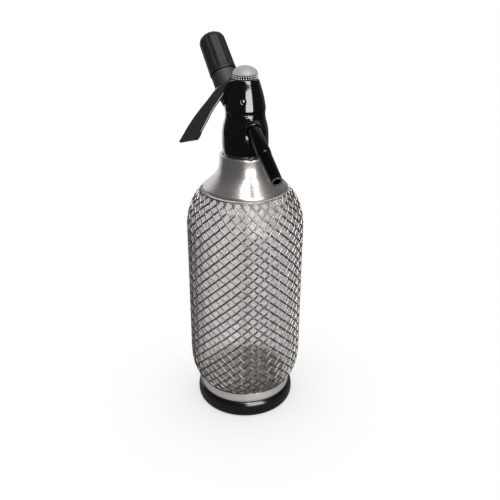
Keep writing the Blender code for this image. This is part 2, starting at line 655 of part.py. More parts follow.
def lever_pin():
    """The pin, whose ends show a little proud of the housing's side."""
    half = head_radius(PIN_HEIGHT) + PIN_PROUD
    outline = [(0, -half), (0.8 * PIN_RADIUS, -half), (PIN_RADIUS, -half + 0.2 * PIN_RADIUS),
               (PIN_RADIUS, half - 0.2 * PIN_RADIUS), (0.8 * PIN_RADIUS, half), (0, half)]
    turned("lever_pin", outline, ROUND_SMALL, finish("pin_steel", (0.75, 0.75, 0.75), 0.2, 1.0),
           matrix=PIN_FRAME)


def lever():
    """A channel-section lever whose fork straddles the stem's eye on the pin."""
    outer_shares = ((0.128, 0.223), (0.207, 0.363), (0.317, 0.290), (0.430, 0.166), (0.567, -0.083),
                    (0.722, -0.360), (0.841, -0.606), (0.955, -0.881), (1.0, -0.990))
    end_shares = ((0.984, -1.0), (0.943, -0.977), (0.722, -0.907))
    inner_shares = ((0.699, -0.860), (0.665, -0.746), (0.588, -0.539), (0.503, -0.306), (0.433, -0.145),
                    (0.340, 0.049), (0.308, 0.127), (0.283, 0.140), (0.232, 0.057), (0.152, -0.041))
    outer = through([(LEVER_LENGTH * x, LEVER_DROP * z) for x, z in outer_shares], 2)
    inner = through([(LEVER_LENGTH * x, LEVER_DROP * z) for x, z in inner_shares], 2)
    end = [(LEVER_LENGTH * x, LEVER_DROP * z) for x, z in end_shares]
    hub = arc((0, 0), (HUB_EYE_RADIUS, HUB_EYE_RADIUS), -80, -170, 4)
    nose = [(-NOSE_REACH, 0.3 * HUB_EYE_RADIUS), (-NOSE_REACH, HUB_EYE_RADIUS)]
    root = [(FLANGE_RADIUS + GAP, HUB_EYE_RADIUS)]
    outline = root + outer + end + inner + hub + nose
    shape = add("lever", plate_mesh(outline, LEVER_WIDTH / 2),
                finish("lever_grey", (0.045, 0.045, 0.047), 0.42), LEVER_FRAME)
    soften = shape.modifiers.new("edge", "BEVEL")
    soften.width = LEVER_EDGE
    soften.segments = 2
    soften.limit_method = "ANGLE"
    soften.angle_limit = math.radians(50)
    channel = [(LEVER_LENGTH * x - 0.9 * LEVER_WEB, LEVER_DROP * z - 0.6 * LEVER_WEB)
               for x, z in outer_shares[3:7]]
    open_side_shares = ((0.900, -0.840), (0.620, -0.800), (0.500, -0.450), (0.400, -0.180))
    channel += [(LEVER_LENGTH * x, LEVER_DROP * z) for x, z in open_side_shares]
    back = FLANGE_RADIUS + 8 * GAP
    fork = [(-NOSE_REACH - OVERRUN, -2 * HUB_EYE_RADIUS), (back, -2 * HUB_EYE_RADIUS),
            (back, 4 * HUB_EYE_RADIUS), (-NOSE_REACH - OVERRUN, 4 * HUB_EYE_RADIUS)]
    cut(shape,
        add("channel_cut", plate_mesh(channel, LEVER_WIDTH / 2 - LEVER_WALL), matrix=LEVER_FRAME),
        add("fork_cut", plate_mesh(fork, STEM_RADIUS + 2 * GAP), matrix=LEVER_FRAME),
        turned("lever_pin_hole", rod_outline(PIN_RADIUS + BORE_CLEARANCE, -LEVER_WIDTH, LEVER_WIDTH),
               ROUND_SMALL, matrix=PIN_FRAME))


def dome_cap():
    """Domed nut with a beaded rim, over the spring."""
    base = HEAD_TOP + GAP
    rim_top = base + DOME_RIM_HEIGHT
    shoulder = DOME_RADIUS - 2 * DOME_BEAD_DEPTH
    beads = 2 * DOME_BEADS
    bm = bmesh.new()
    rows = [(DOME_RADIUS, base, True), (DOME_RADIUS, rim_top, True)]
    rows += [(radius, height, False)
             for radius, height in arc((0, rim_top), (shoulder, DOME_RISE), 4, 72, 5)]
    rings = []
    for radius, height, beaded in rows:
        ring = []
        for step in range(beads):
            turn = math.tau * step / beads
            reach = radius - DOME_BEAD_DEPTH * (step % 2) * beaded
            ring.append(bm.verts.new((reach * math.cos(turn), reach * math.sin(turn), height)))
        rings.append(ring)
    for low, high in zip(rings, rings[1:]):
        for step in range(beads):
            following = (step + 1) % beads
            bm.faces.new([low[step], low[following], high[following], high[step]])
    bm.faces.new(rings[0])
    bm.faces.new(rings[-1])
    dome = add("dome_cap", bm, finish("dome_silver", (0.68, 0.67, 0.64), 0.35, 1.0))
    bore_top = HEAD_TOP + BOSS_HEIGHT + GAP
    outline = [(0, base - OVERRUN), (BOSS_RADIUS + GAP, base - OVERRUN), (BOSS_RADIUS + GAP, bore_top),
               (SPRING_POCKET_RADIUS, bore_top), (SPRING_POCKET_RADIUS, bore_top + SPRING_POCKET_DEPTH),
               (0, bore_top + SPRING_POCKET_DEPTH)]
    cut(dome, turned("dome_bore", outline, ROUND_HEAD))


def spout():
    """Spout tube, its sealing ring in the head's socket, and the narrower tip."""
    socket = SPOUT_START + HOOD_LENGTH - SPOUT_SOCKET_DEPTH
    seal = [socket + GAP, socket + GAP + SPOUT_SOCKET_DEPTH / 4]
    turned("spout_seal", ring_outline(SPOUT_RADIUS, SPOUT_BORE_RADIUS, *seal), ROUND_SMALL,
           finish("spout_seal_rubber", (0.05, 0.05, 0.05), 0.7), SPOUT_FRAME)
    start = seal[1] + GAP
    joint = start + SPOUT_LENGTH
    spigot_end = joint + SPOUT_SPIGOT_LENGTH
    outline = [(SPOUT_BORE_RADIUS, start), (SPOUT_RADIUS, start),
               (SPOUT_RADIUS, joint - 0.1 * SPOUT_RADIUS), (0.92 * SPOUT_RADIUS, joint),
               (SPOUT_SPIGOT_RADIUS, joint), (SPOUT_SPIGOT_RADIUS, spigot_end),
               (SPOUT_BORE_RADIUS, spigot_end)]
    turned("spout_tube", outline, ROUND_BORE, finish("spout_black", (0.020, 0.020, 0.021), 0.35),
           SPOUT_FRAME)
    base = joint + GAP
    end = base + SPOUT_TIP_LENGTH
    socket_radius = SPOUT_SPIGOT_RADIUS + GAP / 2
    floor = spigot_end + GAP
    outline = [(socket_radius, base), (1.12 * SPOUT_TIP_RADIUS, base),
               (1.10 * SPOUT_TIP_RADIUS, base + 0.3 * SPOUT_SPIGOT_LENGTH), (SPOUT_TIP_RADIUS, end - GAP),
               (SPOUT_TIP_RADIUS - GAP, end), (SPOUT_BORE_RADIUS, end), (SPOUT_BORE_RADIUS, floor),
               (socket_radius, floor)]
    turned("spout_tip", outline, ROUND_BORE, finish("tip_black", (0.020, 0.020, 0.021), 0.38), SPOUT_FRAME)


def riser():
    """Gasket on the bottle's mouth, the plate on it and the dip tube under the plate."""
    turned("neck_gasket",
           ring_outline(PLATE_RADIUS, GASKET_BORE_RADIUS, GASKET_BASE, GASKET_BASE + GASKET_HEIGHT),
           ROUND_BORE, finish("gasket_rubber", (0.35, 0.07, 0.05), 0.6))
    top = PLATE_BASE + PLATE_HEIGHT
    tube_top = PLATE_BASE - GAP
    bore = TUBE_RADIUS - TUBE_WALL
    hub_base = PLATE_BASE - HUB_HEIGHT
    outline = [(bore, PLATE_BASE), (TUBE_RADIUS + GAP, PLATE_BASE), (TUBE_RADIUS + GAP, hub_base),
               (HUB_RADIUS, hub_base), (HUB_RADIUS, PLATE_BASE), (PLATE_RADIUS, PLATE_BASE),
               (PLATE_RADIUS, top), (bore, top)]
    turned("tube_plate", outline, ROUND_BORE, finish("plate_white", (0.75, 0.75, 0.72), 0.45))
    bottom = FOOT_FLOOR + GAP + GLASS_FLOOR + GLASS_PUNT + TUBE_BOTTOM_LIFT
    turned("dip_tube", ring_outline(TUBE_RADIUS, bore, bottom, tube_top), ROUND_SMALL,
           finish("tube_clear", (0.80, 0.82, 0.80), 0.25))


def charger():
    """Piercing pin, its seal, the threaded nipple and the gas charger."""
    base = PIERCER_TIP - PIERCER_BASE
    turned("piercing_pin",
           [(0, base), (PIERCER_RADIUS, base), (PIERCER_RADIUS, base + 0.45 * PIERCER_BASE),
            (PIERCER_NEEDLE_RADIUS, base + 0.45 * PIERCER_BASE),
            (PIERCER_NEEDLE_RADIUS, PIERCER_TIP - 2 * PIERCER_NEEDLE_RADIUS), (0, PIERCER_TIP)],
           ROUND_SMALL, finish("piercer_steel", (0.6, 0.6, 0.6), 0.25, 1.0), HOLDER_FRAME)
    seal_top = PIERCER_TIP
    turned("charger_seal",
           ring_outline(CHARGER_NECK_RADIUS, PIERCER_NEEDLE_RADIUS + GAP,
                        seal_top - CHARGER_SEAL_HEIGHT, seal_top),
           ROUND_SMALL, finish("charger_seal_rubber", (0.05, 0.05, 0.05), 0.7), HOLDER_FRAME)
    nipple_base = ARM_END + NIPPLE_PROUD - NIPPLE_LENGTH
    turned("charger_nipple",
           ring_outline(NIPPLE_RADIUS, CHARGER_RADIUS + GAP, nipple_base, nipple_base + NIPPLE_LENGTH),
           ROUND_BORE, finish("nipple_brass", (0.70, 0.55, 0.27), 0.3, 1.0), HOLDER_FRAME)
    start = PIERCER_TIP + GAP
    shoulder = start + CHARGER_NECK_LENGTH
    end = start + CHARGER_LENGTH
    outline = [(0, start), (CHARGER_NECK_RADIUS, start), (CHARGER_NECK_RADIUS, shoulder)]
    outline += arc((CHARGER_NECK_RADIUS, shoulder + CHARGER_SHOULDER),
                   (CHARGER_RADIUS - CHARGER_NECK_RADIUS, CHARGER_SHOULDER), -70, 0, 4)
    outline += arc((0, end - CHARGER_RADIUS), (CHARGER_RADIUS, CHARGER_RADIUS), 0, 90, 5)
    outline[-1] = (0, end)
    turned("co2_charger", outline, ROUND_BORE, finish("charger_steel", (0.65, 0.65, 0.66), 0.25, 1.0),
           HOLDER_FRAME)


def charger_holder():
    """Fluted cap that screws over the charger on to the nipple."""
    base = ARM_END + GAP
    charger_end = PIERCER_TIP + GAP + CHARGER_LENGTH
    end = charger_end + GAP + CAP_WALL
    steps = 4 * CAP_FLUTES
    corner = end - CAP_ROUNDING
    rows = [(CAP_RADIUS, base, 0), (CAP_RADIUS, base + CAP_RIM, 0),
            (CAP_RADIUS - 0.2 * (CAP_RADIUS - CAP_END_RADIUS), base + 1.6 * CAP_RIM, 1),
            (CAP_END_RADIUS, corner, 1)]
    for radius, height in arc((0, corner), (CAP_END_RADIUS, CAP_ROUNDING), 18, 72, 3):
        rows.append((radius, height, radius / CAP_END_RADIUS))
    bm = bmesh.new()
    rings = []
    for radius, height, fluting in rows:
        ring = []
        for step in range(steps):
            turn = math.tau * step / steps
            wave = 0.5 - 0.5 * math.cos(CAP_FLUTES * turn)
            reach = radius - FLUTE_DEPTH * fluting * wave
            ring.append(bm.verts.new((reach * math.cos(turn), reach * math.sin(turn), height)))
        rings.append(ring)
    for low, high in zip(rings, rings[1:]):
        for step in range(steps):
            following = (step + 1) % steps
            bm.faces.new([low[step], low[following], high[following], high[step]])
    bm.faces.new(rings[0])
    tip = bm.verts.new((0, 0, end))
    for step in range(steps):
        bm.faces.new([rings[-1][step], rings[-1][(step + 1) % steps], tip])
    holder = add("charger_holder", bm, finish("holder_grey", (0.040, 0.040, 0.042), 0.5), HOLDER_FRAME)
    wide_top = ARM_END + NIPPLE_PROUD + GAP
    narrow = CHARGER_RADIUS + GAP
    outline = [(0, base - OVERRUN), (NIPPLE_RADIUS + GAP, base - OVERRUN), (NIPPLE_RADIUS + GAP, wide_top),
               (narrow, wide_top)]
    outline += arc((0, charger_end - CHARGER_RADIUS), (narrow, narrow), 0, 90, 5)
    outline[-1] = (0, charger_end + GAP)
    cut(holder, turned("holder_bore", outline, ROUND_BORE, matrix=HOLDER_FRAME))


foot()
base_ring()
glass_bottle()
wire_mesh()
neck_collar()
head_body()
lever_housing()
thread_ring()
valve()
lever_pin()
lever()
dome_cap()
spout()
riser()
charger()
charger_holder()
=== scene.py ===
"""Looks of the soda siphon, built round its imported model.

The sections follow the siphon as it is put together, from its foot to the charger holder.
Metres, +Z up. The spout points to -Y and the origin is the middle of the foot's underside.
"""
import math

import bmesh
import bpy
from mathutils import Matrix, Vector


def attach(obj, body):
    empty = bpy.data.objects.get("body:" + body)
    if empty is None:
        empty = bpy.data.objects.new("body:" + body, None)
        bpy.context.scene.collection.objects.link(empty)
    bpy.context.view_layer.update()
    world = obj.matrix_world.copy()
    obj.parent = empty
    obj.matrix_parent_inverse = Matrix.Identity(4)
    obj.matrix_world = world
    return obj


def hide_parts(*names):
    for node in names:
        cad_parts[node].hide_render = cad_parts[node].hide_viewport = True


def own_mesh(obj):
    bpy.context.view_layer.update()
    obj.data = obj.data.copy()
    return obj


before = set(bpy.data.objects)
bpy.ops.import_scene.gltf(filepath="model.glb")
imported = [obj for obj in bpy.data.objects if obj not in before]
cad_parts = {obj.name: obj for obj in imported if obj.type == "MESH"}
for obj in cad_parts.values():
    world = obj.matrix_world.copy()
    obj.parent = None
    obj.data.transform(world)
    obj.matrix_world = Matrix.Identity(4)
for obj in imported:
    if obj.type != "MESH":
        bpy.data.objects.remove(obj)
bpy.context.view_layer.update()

# Studio: a camera that looks down on a white sweep, with three softboxes to its right. One
# stands upright, one is slanted above it and one hangs high up. The room in front is dim,
# and the wall behind is bright on the left. The lamps stay out of the picture.
VIEW_TURN = math.radians(20.0)
VIEW_DOWN = math.radians(25.572)
VIEW_ROLL = math.radians(0.212)
CAMERA_PLACE = (-0.1812, -0.5108, 0.4122)
LENS = 47.683
SENSOR = 36.0

looking = Vector((math.sin(VIEW_TURN) * math.cos(VIEW_DOWN),
                  math.cos(VIEW_TURN) * math.cos(VIEW_DOWN), -math.sin(VIEW_DOWN)))
to_right = Vector((math.cos(VIEW_TURN), -math.sin(VIEW_TURN), 0))
camera_up = to_right.cross(looking)
lens = bpy.data.cameras.new("camera")
lens.lens = LENS
lens.sensor_width = SENSOR
lens.clip_start = 0.01


def added(name, data):
    """Puts a new object with this data in the scene."""
    made = bpy.data.objects.new(name, data)
    bpy.context.scene.collection.objects.link(made)
    return made


camera = added("camera", lens)
turned_to = Matrix((to_right, camera_up, -looking)).transposed().to_4x4()
camera.matrix_world = Matrix.Translation(CAMERA_PLACE) @ turned_to @ Matrix.Rotation(VIEW_ROLL, 4, "Z")
bpy.context.scene.camera = camera
bpy.context.scene.view_settings.view_transform = "Standard"


def wire_up(nodes, kind, inputs=None, **settings):
    """Adds a shader or geometry node, sets it, and links or fills its inputs."""
    node = nodes.new(kind)
    for key, value in settings.items():
        setattr(node, key, value)
    for key, value in (inputs or {}).items():
        if isinstance(value, bpy.types.NodeSocket):
            node.id_data.links.new(value, node.inputs[key])
        else:
            node.inputs[key].default_value = value
    return node


def maths(nodes, operation, *values):
    """The result of a sum on numbers."""
    return wire_up(nodes, "ShaderNodeMath", dict(enumerate(values)), operation=operation).outputs[0]


def vector_maths(nodes, operation, inputs, result="Vector"):
    """The result of a sum on vectors."""
    return wire_up(nodes, "ShaderNodeVectorMath", inputs, operation=operation).outputs[result]


def blend(nodes, share, low, high, colour=False):
    """A number or a colour between two others, by a share."""
    first, result, kind = (6, 2, "RGBA") if colour else (2, 0, "FLOAT")
    mix = wire_up(nodes, "ShaderNodeMix", {0: share, first: low, first + 1: high}, data_type=kind)
    return mix.outputs[result]


def eased_level(nodes, value, near, far, at_near=0.0, at_far=1.0):
    """A level that eases from one value to another while a measure grows from near to far."""
    return wire_up(nodes, "ShaderNodeMapRange",
                   {"Value": value, "From Min": near, "From Max": far, "To Min": at_near, "To Max": at_far},
                   interpolation_type="SMOOTHSTEP").outputs["Result"]


def level_along(nodes, vector, direction, near, far, at_near=0.0, at_far=1.0):
    """A level that eases from one value to another along a direction."""
    reach = vector_maths(nodes, "DOT_PRODUCT", {0: vector, 1: tuple(direction)}, "Value")
    return eased_level(nodes, reach, near, far, at_near, at_far)


def object_place(nodes):
    """Where the shaded spot lies on its object."""
    return wire_up(nodes, "ShaderNodeTexCoord").outputs["Object"]


def seen_directly(nodes, path):
    """One for the camera's own rays, also where they go through glass."""
    return maths(nodes, "MAXIMUM", path.outputs["Is Camera Ray"], path.outputs["Is Transmission Ray"])


# The light on matt faces, and what shiny ones mirror of the room. A pair says over which
# part of its direction one level eases into the next.
FILL_LIGHT = 0.62
ROOM_LEVEL, LEFT_CEILING, RIGHT_CEILING = 0.03, 0.06, 0.03
BACK_LEFT, BACK_RIGHT = 1.0, 0.10
OVERHEAD, CEILING_SIDES = (0.40, 0.85), (-0.7, 0.6)
BEHIND, WALL_SIDES = (0.30, 0.75), (-0.1, 0.6)
away = (math.sin(VIEW_TURN), math.cos(VIEW_TURN), 0)
world = bpy.data.worlds.new("studio")
bpy.context.scene.world = world
world.use_nodes = True
nodes = world.node_tree.nodes
nodes.clear()
path = wire_up(nodes, "ShaderNodeLightPath")
sky = wire_up(nodes, "ShaderNodeTexCoord").outputs["Generated"]
ceiling = level_along(nodes, sky, to_right, *CEILING_SIDES, LEFT_CEILING, RIGHT_CEILING)
front = blend(nodes, level_along(nodes, sky, (0, 0, 1), *OVERHEAD), ROOM_LEVEL, ceiling)
back_wall = level_along(nodes, sky, to_right, *WALL_SIDES, BACK_LEFT, BACK_RIGHT)
mirrored = blend(nodes, level_along(nodes, sky, away, *BEHIND), front, back_wall)
unseen = blend(nodes, path.outputs["Is Glossy Ray"], FILL_LIGHT, mirrored)
level = blend(nodes, seen_directly(nodes, path), unseen, 1.0)
backdrop = wire_up(nodes, "ShaderNodeBackground", {"Color": (1, 1, 1, 1), "Strength": level})
wire_up(nodes, "ShaderNodeOutputWorld", {"Surface": backdrop.outputs[0]})


def along(direction, start):
    """A frame at start whose Z axis points in the direction."""
    return Matrix.Translation(start) @ direction.to_track_quat("Z", "Y").to_matrix().to_4x4()


def softbox(name, turn, rise, distance, width, height, watts, aim=0.18):
    """A rectangular lamp, turned to the right of the camera and raised, in degrees.

    It points to a height on the siphon's axis.
    """
    turn, rise = math.radians(turn), math.radians(rise)
    flat = -Vector((looking.x, looking.y, 0)).normalized()
    side = flat * math.cos(turn) + to_right * math.sin(turn)
    target = Vector((0, 0, aim))
    place = target + (side * math.cos(rise) + Vector((0, 0, math.sin(rise)))) * distance
    lamp = bpy.data.lights.new(name, "AREA")
    lamp.shape = "RECTANGLE"
    lamp.size, lamp.size_y, lamp.energy = width, height, watts
    box = added(name, lamp)
    box.matrix_world = along(place - target, place)
    box.visible_camera = False
    box.visible_diffuse = False


softbox("tall softbox", turn=24.5, rise=0, distance=1.40, width=1.00, height=0.89, watts=13.5, aim=0.446)
softbox("slanted softbox", turn=26, rise=46, distance=1.10, width=0.66, height=0.50, watts=8.5)
softbox("high softbox", turn=30, rise=70, distance=0.95, width=0.50, height=0.40, watts=4.0)


def mesh_of(name, bm):
    """Turns a bmesh into a mesh and frees it."""
    mesh = bpy.data.meshes.new(name)
    bm.to_mesh(mesh)
    bm.free()
    return mesh


def glowing(nodes, strength):
    return wire_up(nodes, "ShaderNodeEmission", {"Color": (1, 1, 1, 1), "Strength": strength}).outputs[0]


def diffuse(nodes, shade):
    return wire_up(nodes, "ShaderNodeBsdfDiffuse", {"Color": (shade, shade, shade, 1)}).outputs[0]


def shader_blend(nodes, share, low, high):
    return wire_up(nodes, "ShaderNodeMixShader", {0: share, 1: low, 2: high}).outputs[0]


# The floor: white paper that keeps its shadow close to the siphon and eases into plain white
# further off. Mirrors see it dim in front and as bright as the back wall behind.
FLOOR_HALF = 3.0
FLOOR_SHADE = 0.80
FLOOR_GLOW = 1.01 - FLOOR_SHADE * FILL_LIGHT
FLOOR_NEAR, FLOOR_LEFT, FLOOR_RIGHT = 0.10, 0.03, 0.02
SHADOW_FADES, FORE_FADES, FORE_SIDES = (0.055, 0.17), (0.12, 0.40), (-0.5, 0.5)
BACK_FROM, BACK_SIDES = (0.40, 0.85), (-0.05, 0.30)
grid = bmesh.new()
bmesh.ops.create_grid(grid, x_segments=8, y_segments=8, size=FLOOR_HALF)
floor = added("floor", mesh_of("floor", grid))
paper = bpy.data.materials.new("white_sweep")
paper.use_nodes = True
nodes = paper.node_tree.nodes
nodes.clear()
path = wire_up(nodes, "ShaderNodeLightPath")
spot = object_place(nodes)
reach = vector_maths(nodes, "LENGTH", {0: spot}, "Value")
lit = wire_up(nodes, "ShaderNodeAddShader", {0: diffuse(nodes, FLOOR_SHADE), 1: glowing(nodes, FLOOR_GLOW)})
shown = shader_blend(nodes, eased_level(nodes, reach, *SHADOW_FADES), lit.outputs[0], glowing(nodes, 1.0))
sideways = level_along(nodes, spot, to_right, *FORE_SIDES, FLOOR_LEFT, FLOOR_RIGHT)
fore = blend(nodes, eased_level(nodes, reach, *FORE_FADES), FLOOR_NEAR, sideways)
bearing = vector_maths(nodes, "NORMALIZE", {0: spot})
back_floor = level_along(nodes, spot, to_right, *BACK_SIDES, BACK_LEFT, BACK_RIGHT)
mirrored = glowing(nodes, blend(nodes, level_along(nodes, bearing, away, *BACK_FROM), fore, back_floor))
unseen = shader_blend(nodes, path.outputs["Is Glossy Ray"], diffuse(nodes, FLOOR_SHADE), mirrored)
choice = shader_blend(nodes, seen_directly(nodes, path), unseen, shown)
wire_up(nodes, "ShaderNodeOutputMaterial", {"Surface": choice})
floor.data.materials.append(paper)


# Foot: a turned and polished black phenolic cup under the bottle. It is pressed on the
# bottle's heel below the base ring, and a shallow recess under it leaves a rim to stand on.
GAP = 0.0003
FOOT_HEIGHT = 0.0146
FOOT_FLOOR = 0.0042
SLEEVE_RADIUS = 0.05175
HEEL_RADIUS = 0.0373053
RING_BORE_RADIUS = HEEL_RADIUS + 0.0014
RING_TOP_RADIUS = RING_BORE_RADIUS + 0.0024
RING_RADIUS = RING_TOP_RADIUS + 0.0012
FOOT_RADIUS = RING_RADIUS + 0.0034
FOOT_BORE_RADIUS = HEEL_RADIUS + 0.0012
FINE = 192


def arc(centre, radii, start, end, steps):
    """Points of an ellipse's arc, with angles in degrees."""
    return [(centre[0] + radii[0] * math.cos(math.radians(start + (end - start) * step / steps)),
             centre[1] + radii[1] * math.sin(math.radians(start + (end - start) * step / steps)))
            for step in range(steps + 1)]


def smooth_line(points, steps):
    """A smooth open curve through the points."""
    ends = [points[0]] + list(points) + [points[-1]]
    line = []
    for a, b, c, d in zip(ends, ends[1:], ends[2:], ends[3:]):
        for step in range(steps):
            t = step / steps
            line.append(tuple(0.5 * (2 * q + (r - p) * t + (2 * p - 5 * q + 4 * r - s) * t ** 2
                                     + (3 * q - p - 3 * r + s) * t ** 3)
                              for p, q, r, s in zip(a, b, c, d)))
    return line + [points[-1]]


def eased(outline, radius, steps=3):
    """A closed outline whose corners are rounded with short curves."""
    soft = []
    count = len(outline)
    for index, here in enumerate(outline):
        before, after = Vector(outline[index - 1]), Vector(outline[(index + 1) % count])
        corner = Vector(here)
        into, out = before - corner, after - corner
        on_axis = corner.x < 1e-7
        if on_axis or into.length < 1e-9 or out.length < 1e-9 or into.angle(out) > math.radians(155):
            soft.append(tuple(here))
            continue
        reach = min(radius, 0.45 * into.length, 0.45 * out.length)
        start, end = corner + into.normalized() * reach, corner + out.normalized() * reach
        for step in range(steps + 1):
            t = step / steps
            soft.append(tuple(start * (1 - t) ** 2 + corner * 2 * t * (1 - t) + end * t ** 2))
    return soft


def lathe(outline, steps, place=None):
    """Turns a closed outline of (radius, height) points about Z, as a bmesh."""
    bm = bmesh.new()
    verts = [bm.verts.new((max(radius, 0), 0, height)) for radius, height in outline]
    edges = [bm.edges.new((here, there)) for here, there in zip(verts, verts[1:] + verts[:1])
             if here.co.x > 0 or there.co.x > 0]
    bmesh.ops.spin(bm, geom=verts + edges, cent=(0, 0, 0), axis=(0, 0, 1), angle=math.tau,
                   steps=steps, use_merge=True)
    bmesh.ops.remove_doubles(bm, verts=bm.verts, dist=0.0000005)
    bmesh.ops.recalc_face_normals(bm, faces=bm.faces)
    if place is not None:
        bm.transform(place)
    return bm


def piece_of(name, bm, finish, sharp=38):
    """Makes an object of a bmesh and gives it a finish."""
    mesh = mesh_of(name, bm)
    mesh.shade_smooth()
    mesh.set_sharp_from_angle(angle=math.radians(sharp))
    mesh.materials.append(finish)
    return added(name, mesh)


def noise(nodes, vector, scale, detail, roughness=0.5):
    return wire_up(nodes, "ShaderNodeTexNoise", {"Vector": vector, "Scale": scale, "Detail": detail,
                                                 "Roughness": roughness}).outputs["Fac"]


def spread_over(nodes, level, low, high):
    """Spreads a noise's middle over a range."""
    return wire_up(nodes, "ShaderNodeMapRange", {"Value": level, "From Min": 0.3, "From Max": 0.7,
                                                 "To Min": low, "To Max": high}).outputs["Result"]


def finish_for(name, colour, roughness, metallic=0.0, grain=900, grain_depth=0.00002,
               mottle=0.12, mottle_size=55, uneven=0.06, **shader_values):
    """A procedural finish: slow colour mottling, uneven roughness and a fine grain in relief.

    The grain and the mottling are counted in cells per metre, and the depth is in metres. A
    brushed or turned face has another grain along each axis.
    """
    material = bpy.data.materials.new(name)
    material.use_nodes = True
    nodes = material.node_tree.nodes
    shader = nodes["Principled BSDF"]
    place = object_place(nodes)
    shade = spread_over(nodes, noise(nodes, place, mottle_size, 4, 0.6), 1 - mottle, 1 + mottle)
    tinted = vector_maths(nodes, "SCALE", {0: colour, "Scale": shade})
    scale = grain if isinstance(grain, tuple) else (grain, grain, grain)
    cells = wire_up(nodes, "ShaderNodeMapping", {"Vector": place, "Scale": scale})
    fine = noise(nodes, cells.outputs["Vector"], 1, 3, 0.55)
    rough = spread_over(nodes, fine, max(roughness - uneven, 0.02), roughness + uneven)
    relief = wire_up(nodes, "ShaderNodeBump", {"Height": fine, "Distance": grain_depth, "Strength": 0.6})
    for label, value in (("Base Color", tinted), ("Roughness", rough), ("Normal", relief.outputs["Normal"])):
        material.node_tree.links.new(value, shader.inputs[label])
    shader.inputs["Metallic"].default_value = metallic
    for key, value in shader_values.items():
        shader.inputs[key.replace("_", " ")].default_value = value
    return material


def overlaid(material, share, values):
    """Gives a finish other values where the share is one."""
    nodes = material.node_tree.nodes
    for label, value in values.items():
        socket = nodes["Principled BSDF"].inputs[label]
        usual = socket.links[0].from_socket if socket.links else socket.default_value
        changed = blend(nodes, share, usual, value, colour=label == "Base Color")
        material.node_tree.links.new(changed, socket)


def stands_for(piece, body, slot, *nodes_replaced):
    """Attaches the piece to the body that it rides on and hides the nodes that it replaces. The slot is not
    used.
    """
    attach(piece, body)
    if nodes_replaced:
        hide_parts(*nodes_replaced)


polished_black = finish_for("foot_polish", (0.005, 0.005, 0.0055), 0.19, grain=(700, 700, 2600),
                            grain_depth=0.000008, uneven=0.05, Coat_Weight=1.0, Coat_Roughness=0.16,
                            Coat_IOR=1.6)
nodes = polished_black.node_tree.nodes
place = object_place(nodes)
reach = vector_maths(nodes, "LENGTH", {0: vector_maths(nodes, "MULTIPLY", {0: place, 1: (1, 1, 0)})}, "Value")
height = wire_up(nodes, "ShaderNodeSeparateXYZ", {0: place}).outputs["Z"]
# Painted light: the cup's inside under the bottle is light grey, so that the glass base shows brighter.
in_cup_painted_light = maths(nodes, "MULTIPLY", maths(nodes, "LESS_THAN", reach, FOOT_BORE_RADIUS + GAP),
               maths(nodes, "GREATER_THAN", height, FOOT_FLOOR / 2))
overlaid(polished_black, in_cup_painted_light, {"Base Color": (0.56, 0.52, 0.50, 1)})
LIP, LIP_RISE, EDGE_SHARE = 0.05 * FOOT_RADIUS, 0.36 * FOOT_HEIGHT, 0.45
RECESS_DEPTH, RECESS_INSET, RECESS_SLOPE = 0.0009, 0.0092, 0.0008
outline = [(0, RECESS_DEPTH), (FOOT_RADIUS - RECESS_INSET - RECESS_SLOPE, RECESS_DEPTH),
           (FOOT_RADIUS - RECESS_INSET, 0.0), (FOOT_RADIUS - LIP, 0.0)]
outline += arc((FOOT_RADIUS - LIP, LIP_RISE), (LIP, LIP_RISE), -80, 0, 14)
outline += arc((RING_RADIUS + GAP, EDGE_SHARE * FOOT_HEIGHT),
               (FOOT_RADIUS - RING_RADIUS - GAP, (1 - EDGE_SHARE) * FOOT_HEIGHT), 4, 84, 18)
outline += [(RING_RADIUS + GAP, FOOT_HEIGHT), (FOOT_BORE_RADIUS, FOOT_HEIGHT),
            (FOOT_BORE_RADIUS, FOOT_FLOOR), (0, FOOT_FLOOR)]
foot = piece_of("foot_cup", lathe(outline, FINE), polished_black)
stands_for(foot, "bottle", "foot_black", "foot")


# Base ring: a spun aluminium ring, satin outside, that closes the wire sleeve at its foot.
# It lies on the foot's edge, round the bottle's heel.
RING_HEIGHT = 0.0078
RING_BASE = FOOT_HEIGHT + GAP
ring_top = RING_BASE + RING_HEIGHT
edge = RING_TOP_RADIUS - RING_BORE_RADIUS
spun_silver = finish_for("ring_satin", (0.74, 0.70, 0.675), 0.60, 0.25, grain=(60, 60, 5200),
                         grain_depth=0.00001, mottle=0.05, uneven=0.05, Specular_IOR_Level=0.15)
outline = [(RING_BORE_RADIUS, RING_BASE), (RING_RADIUS, RING_BASE)]
outline += smooth_line([(RING_RADIUS, RING_BASE + 0.3 * RING_HEIGHT),
                        (0.5 * (RING_RADIUS + RING_TOP_RADIUS) + 0.0001, RING_BASE + 0.6 * RING_HEIGHT),
                        (RING_TOP_RADIUS + 0.1 * edge, RING_BASE + 0.85 * RING_HEIGHT),
                        (RING_TOP_RADIUS - 0.2 * edge, ring_top)], 6)
outline += [(RING_BORE_RADIUS, ring_top)]
ring = piece_of("base_band", lathe(eased(outline, 0.0004), FINE), spun_silver)
stands_for(ring, "bottle", "ring_silver", "base_ring")


